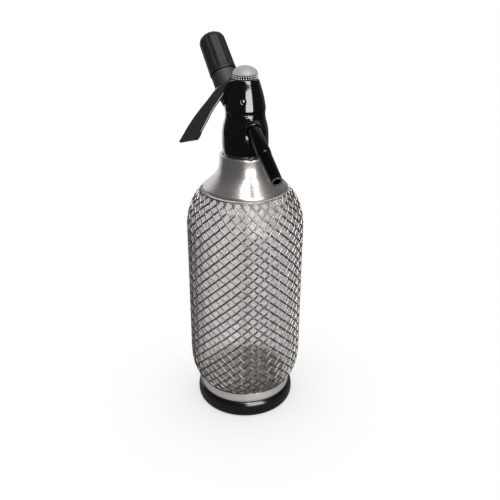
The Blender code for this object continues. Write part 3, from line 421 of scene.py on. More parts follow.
# Bottle: thick clear soda glass, blown in a mould, with a pushed-up base. It stands in the
# foot, and its neck carries the collar.
SLEEVE_HEIGHT, COLLAR_HEIGHT, SPIGOT_HEIGHT = 0.1905, 0.0287, 0.0083
SLEEVE_BASE = ring_top + GAP
SLEEVE_TOP = SLEEVE_BASE + SLEEVE_HEIGHT
HEEL_RISE, HEEL_SEMI_HEIGHT, HEEL_INSET = 0.0300, 0.0320, 0.0157
SHOULDER_RISE, SHOULDER_SEMI_HEIGHT, SHOULDER_INSET = 0.0345, 0.0420, 0.0320
HEEL_STEPS, SHOULDER_STEPS = 14, 16
COLLAR_BASE = SLEEVE_TOP + GAP
COLLAR_TOP = COLLAR_BASE + COLLAR_HEIGHT
SPIGOT_TOP = COLLAR_TOP + SPIGOT_HEIGHT
NECK_TOP = SPIGOT_TOP + GAP
NECK_RADIUS, NECK_BORE_RADIUS = 0.0145, 0.0105
GLASS_WALL, GLASS_FLOOR, GLASS_PUNT = 0.0028, 0.0090, 0.0030
GLASS_UNDER_WIRE, GLASS_EXTRA_INSET = 0.0027, 0.0040
REST_INSET, NECK_FROM = 0.0073, 0.76
PUNT_EDGE, REST_EASE, REST_LIP, HEEL_BEND = 0.0100, 0.0040, 0.0006, 0.0004
INNER_HEEL_INSET, INNER_HEEL_DROP, FLOOR_EDGE, FLOOR_DISH = 0.0022, 0.0038, 0.0160, 0.0010


def flank(height, radius, extra_inset):
    """Radius of the bottle's side: straight, with an oval heel and shoulder."""
    share, inset = 0.0, 0.0
    heel_top, shoulder_start = SLEEVE_BASE + HEEL_RISE, SLEEVE_TOP - SHOULDER_RISE
    if height < heel_top:
        share, inset = (heel_top - height) / HEEL_SEMI_HEIGHT, HEEL_INSET + extra_inset
    if height > shoulder_start:
        share, inset = (height - shoulder_start) / SHOULDER_SEMI_HEIGHT, SHOULDER_INSET + extra_inset
    return radius - inset * (1 - math.sqrt(1 - share ** 2))


def glass_side(height):
    return flank(height, SLEEVE_RADIUS - GLASS_UNDER_WIRE, GLASS_EXTRA_INSET)


RIPPLE_CELLS, RIPPLE_DEPTH, RIPPLE_STRENGTH = (38, 38, 14), 0.0006, 0.35
SMOOTHEST, ROUGHEST = 0.20, 0.27
clear_glass = bpy.data.materials.new("bottle_glass")
clear_glass.use_nodes = True
nodes = clear_glass.node_tree.nodes
links = clear_glass.node_tree.links
shader = nodes["Principled BSDF"]
place = object_place(nodes)
cells = wire_up(nodes, "ShaderNodeMapping", {"Vector": place, "Scale": RIPPLE_CELLS})
ripple = noise(nodes, cells.outputs["Vector"], 1, 2)
relief = wire_up(nodes, "ShaderNodeBump",
                 {"Height": ripple, "Distance": RIPPLE_DEPTH, "Strength": RIPPLE_STRENGTH})
links.new(relief.outputs["Normal"], shader.inputs["Normal"])
links.new(spread_over(nodes, ripple, SMOOTHEST, ROUGHEST), shader.inputs["Roughness"])
for label, value in (("Base Color", (0.94, 0.93, 0.92, 1)), ("Transmission Weight", 1.0), ("IOR", 1.30),
                     ("Specular IOR Level", 0.2)):
    shader.inputs[label].default_value = value
path = wire_up(nodes, "ShaderNodeLightPath")
open_way = wire_up(nodes, "ShaderNodeBsdfTransparent", {"Color": (0.92, 0.915, 0.905, 1)})
glass = shader_blend(nodes, path.outputs["Is Shadow Ray"], shader.outputs[0], open_way.outputs[0])
links.new(glass, nodes["Material Output"].inputs["Surface"])


def between(low, high, across, up):
    """A point between two others, by a share of the radius left and a share of the height."""
    return high[0] + across * (low[0] - high[0]), low[1] + up * (high[1] - low[1])


base = FOOT_FLOOR + GAP
side_heights = [SLEEVE_BASE + HEEL_RISE * step / HEEL_STEPS for step in range(HEEL_STEPS + 1)]
side_heights += [SLEEVE_TOP - SHOULDER_RISE + SHOULDER_RISE * step / SHOULDER_STEPS
                 for step in range(SHOULDER_STEPS + 1)]
side = [(glass_side(height), height) for height in side_heights]
neck_low = COLLAR_BASE + NECK_FROM * COLLAR_HEIGHT
rest = HEEL_RADIUS - REST_INSET
outline = [(0, base + GLASS_PUNT), (rest - PUNT_EDGE, base + GLASS_PUNT),
           (rest - REST_EASE, base + REST_LIP), (rest, base)]
outline += [(0.5 * (rest + side[0][0]) + GLASS_PUNT / 2, base + 0.25 * (SLEEVE_BASE - base)),
            (side[0][0] - HEEL_BEND, base + 0.62 * (SLEEVE_BASE - base))]
outline += side
neck_start = (NECK_RADIUS, neck_low)
outline += smooth_line([side[-1], between(side[-1], neck_start, 0.62, 0.32),
                        between(side[-1], neck_start, 0.24, 0.62), neck_start], 5)[1:]
outline += [(NECK_RADIUS, NECK_TOP), (NECK_BORE_RADIUS, NECK_TOP)]
inner = [(radius - GLASS_WALL, height) for radius, height in side]
bore_start = (NECK_BORE_RADIUS, neck_low)
outline += smooth_line([(NECK_BORE_RADIUS, neck_low - GLASS_WALL / 4),
                        between(inner[-1], bore_start, 0.45, 0.40),
                        between(inner[-1], bore_start, 0.80, 0.15), inner[-1]], 4)[:-1]
outline += inner[::-1]
outline += smooth_line([(inner[0][0] - INNER_HEEL_INSET, SLEEVE_BASE - INNER_HEEL_DROP),
                        (rest - REST_EASE, base + GLASS_FLOOR),
                        (rest - FLOOR_EDGE, base + GLASS_FLOOR + FLOOR_DISH),
                        (0, base + GLASS_FLOOR + GLASS_PUNT)], 3)
bottle = piece_of("bottle", lathe(outline, FINE), clear_glass, sharp=60)
stands_for(bottle, "bottle", "clear_glass", "glass_bottle")


# Wire sleeve: tinned steel wire woven on the slant round the bottle, so that a burst would
# be caught. Each way has the same number of wires, and each wire goes over and under in
# turn. A ring of rough wire hems the weave at both ends; its near-black colour is painted
# shade along the sleeve's edges.
WIRES_EACH_WAY = 33
WIRE_RADIUS = 0.00084
WEAVE_DEPTH = 0.00046
DIAMOND_HEIGHT = 0.0090
WALK_STEPS, POINTS_A_CROSSING, WIRE_SIDES = 900, 4, 8
FALLING_WIRE = math.radians(5.14)
FALLING_WIRE_HEIGHT = 0.115
HEM_SIDES, HEM_HIGH, LOW_HEM_WIDE, HIGH_HEM_WIDE = 20, 0.0006, 2.1 * WIRE_RADIUS, 0.8 * WIRE_RADIUS
middle = SLEEVE_RADIUS - WIRE_RADIUS - WEAVE_DEPTH


def wire_guide():
    """One wire's way up the sleeve in small steps: radius, height and crossings passed."""
    side_length = math.hypot(math.pi * middle / WIRES_EACH_WAY, DIAMOND_HEIGHT / 2)
    low_end = SLEEVE_BASE + 2 * WIRE_RADIUS
    rise = SLEEVE_TOP - WIRE_RADIUS - low_end
    walk, crossings = [], 0.0
    for step in range(WALK_STEPS + 1):
        height = low_end + rise * step / WALK_STEPS
        radius = flank(height, middle, 0)
        if walk:
            run = math.hypot(radius - walk[-1][0], height - walk[-1][1])
            half_wide = math.pi * radius / WIRES_EACH_WAY
            crossings += run / math.sqrt(side_length ** 2 - half_wide ** 2)
        walk.append((radius, height, crossings))
    return walk


walk = wire_guide()
count = int(walk[-1][2] * POINTS_A_CROSSING)
guide_verts, outward_of, crossing_of = [], [], []
cursor = 0
for step in range(count + 1):
    wanted = walk[-1][2] * step / count
    while cursor < len(walk) - 2 and walk[cursor + 1][2] < wanted:
        cursor += 1
    low, high = walk[cursor], walk[cursor + 1]
    share = (wanted - low[2]) / (high[2] - low[2])
    guide_verts.append((low[0] + share * (high[0] - low[0]), 0, low[1] + share * (high[1] - low[1])))
    outward_of.extend(Vector((high[1] - low[1], 0, low[0] - high[0])).normalized())
    crossing_of.append(wanted)
twist_of = [crossing * math.pi / WIRES_EACH_WAY for crossing in crossing_of]
guide_mesh = bpy.data.meshes.new("wire_guide")
guide_mesh.from_pydata(guide_verts, [(i, i + 1) for i in range(count)], [])
for name, kind, key, values in (("twist", "FLOAT", "value", twist_of),
                                ("crossing", "FLOAT", "value", crossing_of),
                                ("outward", "FLOAT_VECTOR", "vector", outward_of)):
    guide_mesh.attributes.new(name, kind, "POINT").data.foreach_set(key, values)
at_height = next(twist for vert, twist in zip(guide_verts, twist_of) if vert[2] > FALLING_WIRE_HEIGHT)


def geometry_tree(name, inputs):
    """A geometry tree with named inputs, with its input sockets and the values to set."""
    tree = bpy.data.node_groups.new(name, "GeometryNodeTree")
    tree.is_modifier = True
    tree.interface.new_socket("Geometry", in_out="INPUT", socket_type="NodeSocketGeometry")
    values = {}
    for label, kind, value in inputs:
        socket = tree.interface.new_socket(label, in_out="INPUT", socket_type="NodeSocket" + kind)
        values[socket.identifier] = value
    tree.interface.new_socket("Geometry", in_out="OUTPUT", socket_type="NodeSocketGeometry")
    return tree, tree.nodes.new("NodeGroupInput").outputs, values


def joined_up(tree, bodies):
    """Several bodies of a tree as one."""
    join = tree.nodes.new("GeometryNodeJoinGeometry")
    for body in bodies:
        tree.links.new(body, join.inputs[0])
    return join.outputs[0]


def dressed_up(nodes, geometry, finish):
    """Makes a tree's copies real and smooth, and gives them their finish."""
    real = wire_up(nodes, "GeometryNodeRealizeInstances", {"Geometry": geometry})
    smooth = wire_up(nodes, "GeometryNodeSetShadeSmooth", {"Geometry": real.outputs[0]})
    return wire_up(nodes, "GeometryNodeSetMaterial",
                   {"Geometry": smooth.outputs[0], "Material": finish}).outputs[0]


def grown(name, mesh, tree, values, leaving):
    """Runs a geometry tree on a mesh and gives what leaves it as a plain mesh object."""
    tree.links.new(leaving, tree.nodes.new("NodeGroupOutput").inputs[0])
    seed = added(name + "_seed", mesh)
    step = seed.modifiers.new("grow", "NODES")
    step.node_group = tree
    for identifier, value in values.items():
        step[identifier] = value
    result = bpy.data.meshes.new_from_object(seed.evaluated_get(bpy.context.evaluated_depsgraph_get()))
    seed.modifiers.clear()
    bpy.data.objects.remove(seed, do_unlink=True)
    result.name = name
    return added(name, result)


def grafted(piece, parts, finish):
    """Adds bodies with a finish of their own to a piece."""
    whole = bmesh.new()
    whole.from_mesh(piece.data)
    for part in parts:
        for face in part.faces:
            face.material_index = 1
        whole.from_mesh(mesh_of("part", part))
    whole.to_mesh(piece.data)
    whole.free()
    piece.data.materials.append(finish)


tinned_wire = finish_for("wire_tinned", (0.36, 0.342, 0.328), 0.28, 1.0, grain=1500,
                         grain_depth=0.00003, mottle=0.22, mottle_size=140, uneven=0.07)
# Painted shade: the hems are a near-black copy of the wire.
hem_painted_shade = finish_for("hem_painted_shade", (0.075, 0.071, 0.068), 0.45, 0.7, grain=1500,
                      grain_depth=0.00003)
weave, given, weave_values = geometry_tree("woven_sleeve", (
    ("Wires each way", "Int", WIRES_EACH_WAY), ("Wire radius", "Float", WIRE_RADIUS),
    ("Weave depth", "Float", WEAVE_DEPTH), ("Wire sides", "Int", WIRE_SIDES),
    ("Falling wires turn", "Float", FALLING_WIRE + at_height - math.pi / 2),
    ("Wire finish", "Material", tinned_wire)))
nodes = weave.nodes
round_wire = wire_up(nodes, "GeometryNodeCurvePrimitiveCircle",
                     {"Resolution": given["Wire sides"], "Radius": given["Wire radius"]}).outputs[0]
twist, crossing, outward = (wire_up(nodes, "GeometryNodeInputNamedAttribute", {"Name": name},
                                    data_type=kind).outputs[0]
                            for name, kind in (("twist", "FLOAT"), ("crossing", "FLOAT"),
                                               ("outward", "FLOAT_VECTOR")))
wave = maths(nodes, "COSINE", maths(nodes, "MULTIPLY", crossing, math.pi))
step_round = maths(nodes, "DIVIDE", math.tau, given["Wires each way"])
families = []
for way in (1.0, -1.0):
    lift = maths(nodes, "MULTIPLY", maths(nodes, "MULTIPLY", wave, given["Weave depth"]), way)
    push = vector_maths(nodes, "SCALE", {0: outward, "Scale": lift})
    pushed = wire_up(nodes, "GeometryNodeSetPosition", {"Geometry": given["Geometry"], "Offset": push})
    where = wire_up(nodes, "GeometryNodeInputPosition").outputs[0]
    swung = wire_up(nodes, "ShaderNodeVectorRotate",
                    {"Vector": where, "Angle": maths(nodes, "MULTIPLY", twist, way)}, rotation_type="Z_AXIS")
    slanted = wire_up(nodes, "GeometryNodeSetPosition",
                      {"Geometry": pushed.outputs[0], "Position": swung.outputs[0]})
    line = wire_up(nodes, "GeometryNodeMeshToCurve", {"Mesh": slanted.outputs[0]})
    wire = wire_up(nodes, "GeometryNodeCurveToMesh",
                   {"Curve": line.outputs[0], "Profile Curve": round_wire, "Fill Caps": True})
    seats = wire_up(nodes, "GeometryNodePoints", {"Count": given["Wires each way"]})
    turn = maths(nodes, "MULTIPLY", wire_up(nodes, "GeometryNodeInputIndex").outputs[0], step_round)
    if way < 0:
        turn = maths(nodes, "ADD", turn, given["Falling wires turn"])
    spin = wire_up(nodes, "ShaderNodeCombineXYZ", {"Z": turn})
    around = wire_up(nodes, "GeometryNodeInstanceOnPoints",
                     {"Points": seats.outputs[0], "Instance": wire.outputs[0], "Rotation": spin.outputs[0]})
    families.append(around.outputs[0])
sleeve = grown("wire_sleeve", guide_mesh, weave, weave_values,
               dressed_up(nodes, joined_up(weave, families), given["Wire finish"]))
hems = []
for height, wide in ((SLEEVE_BASE + HEM_HIGH, LOW_HEM_WIDE), (SLEEVE_TOP - WIRE_RADIUS, HIGH_HEM_WIDE)):
    section = arc((flank(height, middle, 0), height), (wide, HEM_HIGH), 0, 360 - 360 / HEM_SIDES,
                  HEM_SIDES - 1)
    hems.append(lathe(section, 4 * WIRES_EACH_WAY))
    for face in hems[-1].faces:
        face.smooth = True
grafted(sleeve, hems, hem_painted_shade)
stands_for(sleeve, "bottle", "mesh_steel", "wire_mesh")


# Neck collar: one spinning of aluminium with a brushed face, a short skirt over the sleeve's
# top, a raised rim and a threaded spigot for the head. It is crimped on the bottle's neck.
COLLAR_RADIUS, COLLAR_NECK_RADIUS = 0.0365812, 0.0218
COLLAR_SKIRT, COLLAR_WALL, COLLAR_EASE, SKIRT_EASE = 0.0014, 0.0009, 0.0006, 0.0004
RIM_RISE, RIM_INSIDE, RIM_EASE, RIM_TAPER = 0.0016, 0.0189, 0.0003, 0.0002
SPIGOT_RADIUS, SPIGOT_TAPER = 0.0159, 0.0007
THREAD_TURNS, THREAD_DEPTH, THREAD_MARGIN = 5, 0.0004, 0.0008
skirt_top = COLLAR_BASE + COLLAR_SKIRT
rim_top = COLLAR_TOP + RIM_RISE
cone = [between((COLLAR_RADIUS, skirt_top), (COLLAR_NECK_RADIUS, COLLAR_TOP), across, up)
        for across, up in ((0.965, 0.035), (0.55, 0.23), (0.27, 0.39), (0.10, 0.56), (0.02, 0.76))]
outside = [(COLLAR_RADIUS, COLLAR_BASE + SKIRT_EASE), (COLLAR_RADIUS, skirt_top - SKIRT_EASE)]
outside += smooth_line(cone + [(COLLAR_NECK_RADIUS, rim_top - COLLAR_WALL)], 7)
spigot = [(COLLAR_NECK_RADIUS - RIM_TAPER, rim_top - RIM_EASE), (COLLAR_NECK_RADIUS - COLLAR_EASE, rim_top),
          (RIM_INSIDE + RIM_EASE, rim_top), (RIM_INSIDE, rim_top - RIM_EASE), (RIM_INSIDE, COLLAR_TOP),
          (SPIGOT_RADIUS + COLLAR_EASE, COLLAR_TOP)]
pitch = (SPIGOT_TOP - COLLAR_TOP - 2 * THREAD_MARGIN) / THREAD_TURNS
for turn in range(THREAD_TURNS):
    root = COLLAR_TOP + THREAD_MARGIN + pitch * turn
    spigot += [(SPIGOT_RADIUS - THREAD_DEPTH, root), (SPIGOT_RADIUS, root + 0.4 * pitch),
               (SPIGOT_RADIUS, root + 0.6 * pitch)]
spigot += [(SPIGOT_RADIUS - THREAD_DEPTH, SPIGOT_TOP - COLLAR_EASE),
           (SPIGOT_RADIUS - SPIGOT_TAPER, SPIGOT_TOP)]
under = [(NECK_RADIUS + GAP, SPIGOT_TOP), (NECK_RADIUS + GAP, neck_low + GAP)]
under += [(radius - 1.6 * COLLAR_WALL, height - 0.8 * COLLAR_WALL) for radius, height in reversed(cone[:4])]
under += [(COLLAR_RADIUS - COLLAR_WALL, COLLAR_BASE + COLLAR_EASE),
          (COLLAR_RADIUS - 0.5 * COLLAR_WALL, COLLAR_BASE)]
brushed = finish_for("collar_brushed", (0.63, 0.605, 0.58), 0.28, 0.80, grain=(45, 45, 6000),
                     grain_depth=0.000006, mottle=0.05, mottle_size=30, uneven=0.03)
collar = piece_of("spun_collar", lathe(outside + spigot + under, FINE), brushed, sharp=50)
stands_for(collar, "bottle", "collar_aluminium", "neck_collar")


# Riser: a red gasket on the bottle's mouth, a white plastic plate on it and the clear dip
# tube under the plate. The head clamps them.
soft_black = finish_for("soft_black_rubber", (0.022, 0.022, 0.023), 0.65, grain_depth=0.00005)
soft_red = finish_for("soft_red_rubber", (0.36, 0.06, 0.045), 0.60, grain_depth=0.00005)
white_plastic = finish_for("moulded_white", (0.76, 0.76, 0.73), 0.42, mottle=0.03)
tube_plastic = finish_for("tube_plastic", (0.95, 0.95, 0.94), 0.20, mottle=0.03, uneven=0.05,
                          Transmission_Weight=1.0, IOR=1.12)
steel = finish_for("turned_steel", (0.62, 0.62, 0.62), 0.28, 1.0, grain=(900, 900, 4000), mottle=0.06)
brass = finish_for("turned_brass", (0.42, 0.31, 0.16), 0.34, 1.0, grain=(900, 900, 4000), mottle=0.08)


def dress(finish, *names):
    """Gives CAD nodes that stay a finish."""
    for name in names:
        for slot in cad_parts[name].material_slots:
            slot.material = finish


dress(soft_red, "neck_gasket")
dress(white_plastic, "tube_plate")
dress(tube_plastic, "dip_tube")


# Head casting: black phenolic moulding with a polished face, threaded on the spigot by a
# brass ring. It has a round hood for the spout, and the arm that takes the gas charger is
# matt beyond its root.
HEAD_BASE = COLLAR_TOP + 0.0020
HEAD_BODY_HEIGHT, HOUSING_HEIGHT, HEAD_RADIUS = 0.0353, 0.0262, 0.0198
HEAD_SPLIT = HEAD_BASE + HEAD_BODY_HEIGHT
HOUSING_BASE = HEAD_SPLIT + GAP
HEAD_TOP = HOUSING_BASE + HOUSING_HEIGHT
SPOUT_SLOPE, HOLDER_TURN, HOLDER_SLOPE = 26.9, 169.0, 50.0
SPOUT_LEVEL, HOLDER_LEVEL = 0.972, 0.484
ARM_ROOT_RADIUS, ARM_RADIUS = 0.0094, 0.0111
ARM_START, ARM_ROOT_END, ARM_FLARE_END, ARM_END = 0.0160, 0.0260, 0.0380, 0.0558
HOOD_RADIUS, HOOD_START, HOOD_LENGTH, SOCKET_DEPTH = 0.0070, 0.0093, 0.0040, 0.0060
SPOUT_RADIUS = 0.0059
NIPPLE_RADIUS, NIPPLE_LENGTH, NIPPLE_PROUD = 0.0100, 0.0257, 0.0090
CHARGER_RADIUS, CHARGER_LENGTH = 0.0090, 0.0660
CHARGER_NECK_RADIUS, CHARGER_NECK, SHOULDER_ROOM = 0.00445, 0.0100, 0.0045
SKIRT_BORE, GASKET_ROOM, WATER_HOLE = (0.0177, 0.0092), (0.0146, 0.0113), (0.0025, 0.0138)
VALVE_ROOM_RADIUS, HEAD_FACE, PIERCER_ROOM = 0.0053, 0.0170, 0.0027
MATT_FADES, OVERCUT, MOULD_DETAIL = 0.0025, 0.004, 0.00042
ROUND_BODY, ROUND_ARM, ROUND_BORE, ROUND_PIN, ROUND_HOLE = 128, 96, 64, 48, 32


def outward_at(turn, slope):
    """A direction turned from the spout's side by turn and raised by slope, in degrees."""
    turn, slope = math.radians(turn), math.radians(slope)
    return Vector((-math.sin(turn) * math.cos(slope), -math.cos(turn) * math.cos(slope), math.sin(slope)))


holder_axis = outward_at(HOLDER_TURN, HOLDER_SLOPE)
HOLDER_FRAME = along(holder_axis, Vector((0, 0, HEAD_BASE + HOLDER_LEVEL * HEAD_BODY_HEIGHT)))
spout_axis = outward_at(0, -SPOUT_SLOPE)
SPOUT_FRAME = along(spout_axis, Vector((0, 0, HEAD_BASE + SPOUT_LEVEL * HEAD_BODY_HEIGHT)))
SPOUT_START = HEAD_FACE / math.cos(math.radians(SPOUT_SLOPE))
PIERCER_TIP = ARM_END - NIPPLE_LENGTH + NIPPLE_PROUD - CHARGER_NECK - SHOULDER_ROOM

head_heights = (0, .02, .10, .20, .31, .41, .48, .545, .62, .68, .78, .865, .965, 1)
head_radii = (.925, .965, .995, 1.0, .985, .93, .87, .848, .862, .838, .775, .702, .602, .570)
head_side = smooth_line([(HEAD_RADIUS * radius, HEAD_BASE + (HEAD_TOP - HEAD_BASE) * height)
                         for radius, height in zip(head_radii, head_heights)], 8)


def head_radius(height):
    """The head's outside radius at a height."""
    for (r0, z0), (r1, z1) in zip(head_side, head_side[1:]):
        if z0 <= height <= z1:
            return r0 + (r1 - r0) * (height - z0) / (z1 - z0)
    return head_side[-1][0]


def head_band(low, high):
    """The head's turned outside between two heights."""
    inside = [point for point in head_side if low + GAP < point[1] < high - GAP]
    return [(0, low), (head_radius(low), low)] + inside + [(head_radius(high), high)]


def stepped(low, *steps):
    """A stepped rod's outline: every step has a radius and the height where it ends."""
    outline = [(0, low)]
    for radius, high in steps:
        outline += [(radius, outline[-1][1]), (radius, high)]
    return outline + [(0, outline[-1][1])]


def moulded(name, body, joined, removed, finish, detail, rounds=6):
    """One moulding: shapes joined and cut, then remeshed so that every corner is eased."""
    shape = piece_of(name, body, finish)
    tools = []
    for kind, group in (("UNION", joined), ("DIFFERENCE", removed)):
        for number, other in enumerate(group):
            tool = piece_of(f"{name}_{kind.lower()}_{number}", other, finish)
            step = shape.modifiers.new(tool.name, "BOOLEAN")
            step.operation, step.object, step.solver = kind, tool, "EXACT"
            tools.append(tool)
    remesh = shape.modifiers.new("flow", "REMESH")
    remesh.mode, remesh.voxel_size, remesh.use_smooth_shade = "VOXEL", detail, True
    ease = shape.modifiers.new("ease", "SMOOTH")
    ease.factor, ease.iterations = 0.5, rounds
    result = bpy.data.meshes.new_from_object(shape.evaluated_get(bpy.context.evaluated_depsgraph_get()))
    shape.modifiers.clear()
    shape.data = result
    result.name = name
    result.shade_smooth()
    result.materials.clear()
    result.materials.append(finish)
    for tool in tools:
        bpy.data.objects.remove(tool, do_unlink=True)
    return shape


def head_polish(name):
    return finish_for(name, (0.003, 0.003, 0.0034), 0.09, grain=260, grain_depth=0.000010,
                      mottle=0.1, uneven=0.02, Specular_IOR_Level=1.0, Coat_Weight=1.0, Coat_Roughness=0.08,
                      Coat_IOR=1.6)


glossy_black = head_polish("head_polish")
part_matt = head_polish("head_part_matt")
nodes = part_matt.node_tree.nodes
arm_from = holder_axis.dot(HOLDER_FRAME.translation) + ARM_ROOT_END
on_arm = level_along(nodes, object_place(nodes), holder_axis, arm_from, arm_from + MATT_FADES)
overlaid(part_matt, on_arm,
         {"Roughness": 0.70, "Base Color": (0.007, 0.009, 0.0115, 1), "Coat Weight": 0.0})
charger_arm = [(0, ARM_START), (ARM_ROOT_RADIUS, ARM_START), (ARM_ROOT_RADIUS, ARM_ROOT_END)]
charger_arm += smooth_line([(ARM_ROOT_RADIUS, ARM_ROOT_END + 0.001),
                            (0.5 * (ARM_ROOT_RADIUS + ARM_RADIUS), 0.5 * (ARM_ROOT_END + ARM_FLARE_END)),
                            (ARM_RADIUS, ARM_FLARE_END), (ARM_RADIUS, ARM_END)], 5)
charger_arm += [(0, ARM_END)]
hood_end = SPOUT_START + HOOD_LENGTH
skirt_steps = [(radius, HEAD_BASE + rise) for radius, rise in (SKIRT_BORE, GASKET_ROOM, WATER_HOLE)]
skirt_bore = stepped(HEAD_BASE - OVERCUT, *skirt_steps, (VALVE_ROOM_RADIUS, HEAD_SPLIT + OVERCUT))
charger_bore = stepped(PIERCER_TIP - PIERCER_ROOM,
                       (CHARGER_NECK_RADIUS + 2 * GAP, PIERCER_TIP + CHARGER_NECK),
                       (CHARGER_RADIUS + GAP, ARM_END + NIPPLE_PROUD - NIPPLE_LENGTH - GAP),
                       (NIPPLE_RADIUS + GAP, ARM_END + OVERCUT))
spout_socket = stepped(hood_end - SOCKET_DEPTH, (SPOUT_RADIUS + GAP, hood_end + OVERCUT))
head = moulded("head_casting", lathe(head_band(HEAD_BASE, HEAD_SPLIT) + [(0, HEAD_SPLIT)], ROUND_BODY),
               [lathe(charger_arm, ROUND_ARM, HOLDER_FRAME),
                lathe(stepped(HOOD_START, (HOOD_RADIUS, hood_end)), ROUND_ARM, SPOUT_FRAME)],
               [lathe(skirt_bore, ROUND_ARM), lathe(spout_socket, ROUND_BORE, SPOUT_FRAME),
                lathe(charger_bore, ROUND_ARM, HOLDER_FRAME)],
               part_matt, MOULD_DETAIL)
stands_for(head, "head", "head_black", "head_body")
dress(brass, "thread_ring", "valve_seat")
dress(soft_black, "valve_seal", "stem_gland", "spout_seal", "charger_seal")


# Spout: two black tubes. The upper one is glued in the hood, and the narrower tip is pushed
# over its end. The matt grey rim round the tip's mouth is a painted highlight.
SPOUT_LENGTH, SPOUT_TIP_LENGTH = 0.0330, 0.0286
SPOUT_TIP_RADIUS, SPOUT_BORE_RADIUS = 0.0048, 0.0030
SPOUT_SPIGOT_RADIUS, SPIGOT_LENGTH, TUBE_TAPER = 0.0040, 0.0060, 0.0040
MOUTH_RADIUS, MOUTH_DEPTH, MOUTH_RIM = 0.66 * SPOUT_TIP_RADIUS, 0.0050, 0.0005
MOUTH_BAND, MOUTH_STEP = 0.0008, 0.0006
satin_black = finish_for("spout_satin", (0.002, 0.002, 0.0022), 0.13, grain=1100,
                         grain_depth=0.000008, uneven=0.04)
rim_matt_painted_highlight = finish_for("spout_rim_painted_highlight", (0.12, 0.12, 0.12), 0.50, grain_depth=0.00001)
tube_start = hood_end - SOCKET_DEPTH + GAP + SOCKET_DEPTH / 4 + GAP
tube_end = tube_start + SPOUT_LENGTH
spigot_end = tube_end + SPIGOT_LENGTH
outline = [(SPOUT_BORE_RADIUS, tube_start), (SPOUT_RADIUS, tube_start),
           (SPOUT_RADIUS, tube_end - TUBE_TAPER), (0.975 * SPOUT_RADIUS, tube_end - TUBE_TAPER / 2),
           (0.935 * SPOUT_RADIUS, tube_end), (SPOUT_SPIGOT_RADIUS, tube_end),
           (SPOUT_SPIGOT_RADIUS, spigot_end), (SPOUT_BORE_RADIUS, spigot_end)]
upper = piece_of("upper_spout", lathe(eased(outline, 0.0003), ROUND_ARM, SPOUT_FRAME), satin_black)
stands_for(upper, "head", "spout_black", "spout_tube")
tip_base = tube_end + GAP
tip_end = tip_base + SPOUT_TIP_LENGTH
socket_radius = SPOUT_SPIGOT_RADIUS + GAP / 2
outline = [(socket_radius, tip_base), (1.13 * SPOUT_TIP_RADIUS, tip_base),
           (1.11 * SPOUT_TIP_RADIUS, tip_base + 0.3 * SPIGOT_LENGTH),
           (SPOUT_TIP_RADIUS, tip_end - MOUTH_BAND), (SPOUT_TIP_RADIUS, tip_end),
           (MOUTH_RADIUS, tip_end), (MOUTH_RADIUS, tip_end - MOUTH_DEPTH),
           (SPOUT_BORE_RADIUS, tip_end - MOUTH_DEPTH - MOUTH_STEP), (SPOUT_BORE_RADIUS, spigot_end + GAP),
           (socket_radius, spigot_end + GAP)]
tip = piece_of("spout_end", lathe(eased(outline, 0.0005, 4), ROUND_ARM, SPOUT_FRAME), satin_black)
tip.data.materials.append(rim_matt_painted_highlight)
# Faces at the mouth's end get the grey painted highlight.
painted_rim_from = spout_axis.dot(SPOUT_FRAME.translation) + tip_end - MOUTH_RIM
for face in tip.data.polygons:
    if face.center.dot(spout_axis) > painted_rim_from:
        face.material_index = 1
stands_for(tip, "head", "spout_black", "spout_tip")


# Valve: the stem's eye is round the lever's pin, and a steel coil spring between the
# stem's flange and the dome keeps the valve shut.
HUB_EYE_RADIUS, BOSS_HEIGHT = 0.0042, 0.0045
PIN_DEPTH, STEM_FLANGE, SPRING_SEAT = 0.0155, 0.0015, 0.0016
PIN_HEIGHT = HEAD_TOP - PIN_DEPTH
SPRING_LOW = PIN_HEIGHT + HUB_EYE_RADIUS + GAP + STEM_FLANGE + GAP
SPRING_HIGH = HEAD_TOP + BOSS_HEIGHT + GAP + SPRING_SEAT - GAP
SPRING_MIDDLE_RADIUS, SPRING_WIRE, SPRING_TURNS = 0.00455, 0.00042, 6.0
dress(steel, "valve_stem", "piercing_pin")
coil, given, coil_values = geometry_tree("coil", (
    ("Turns", "Float", SPRING_TURNS), ("Coil radius", "Float", SPRING_MIDDLE_RADIUS),
    ("Free height", "Float", SPRING_HIGH - SPRING_LOW - 2 * SPRING_WIRE),
    ("Wire radius", "Float", SPRING_WIRE), ("Low end", "Vector", (0, 0, SPRING_LOW + SPRING_WIRE)),
    ("Finish", "Material", steel)))
nodes = coil.nodes
helix = wire_up(nodes, "GeometryNodeCurveSpiral",
                {"Resolution": 28, "Rotations": given["Turns"], "Start Radius": given["Coil radius"],
                 "End Radius": given["Coil radius"], "Height": given["Free height"]})
section = wire_up(nodes, "GeometryNodeCurvePrimitiveCircle",
                  {"Resolution": 10, "Radius": given["Wire radius"]})
wound = wire_up(nodes, "GeometryNodeCurveToMesh",
                {"Curve": helix.outputs[0], "Profile Curve": section.outputs[0], "Fill Caps": True})
lifted = wire_up(nodes, "GeometryNodeTransform",
                 {"Geometry": wound.outputs[0], "Translation": given["Low end"]})
spring = grown("coil_spring", bpy.data.meshes.new("spring_seed"), coil, coil_values,
               dressed_up(nodes, lifted.outputs[0], given["Finish"]))
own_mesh(spring)
stands_for(spring, "head", "inner_steel", "valve_spring")


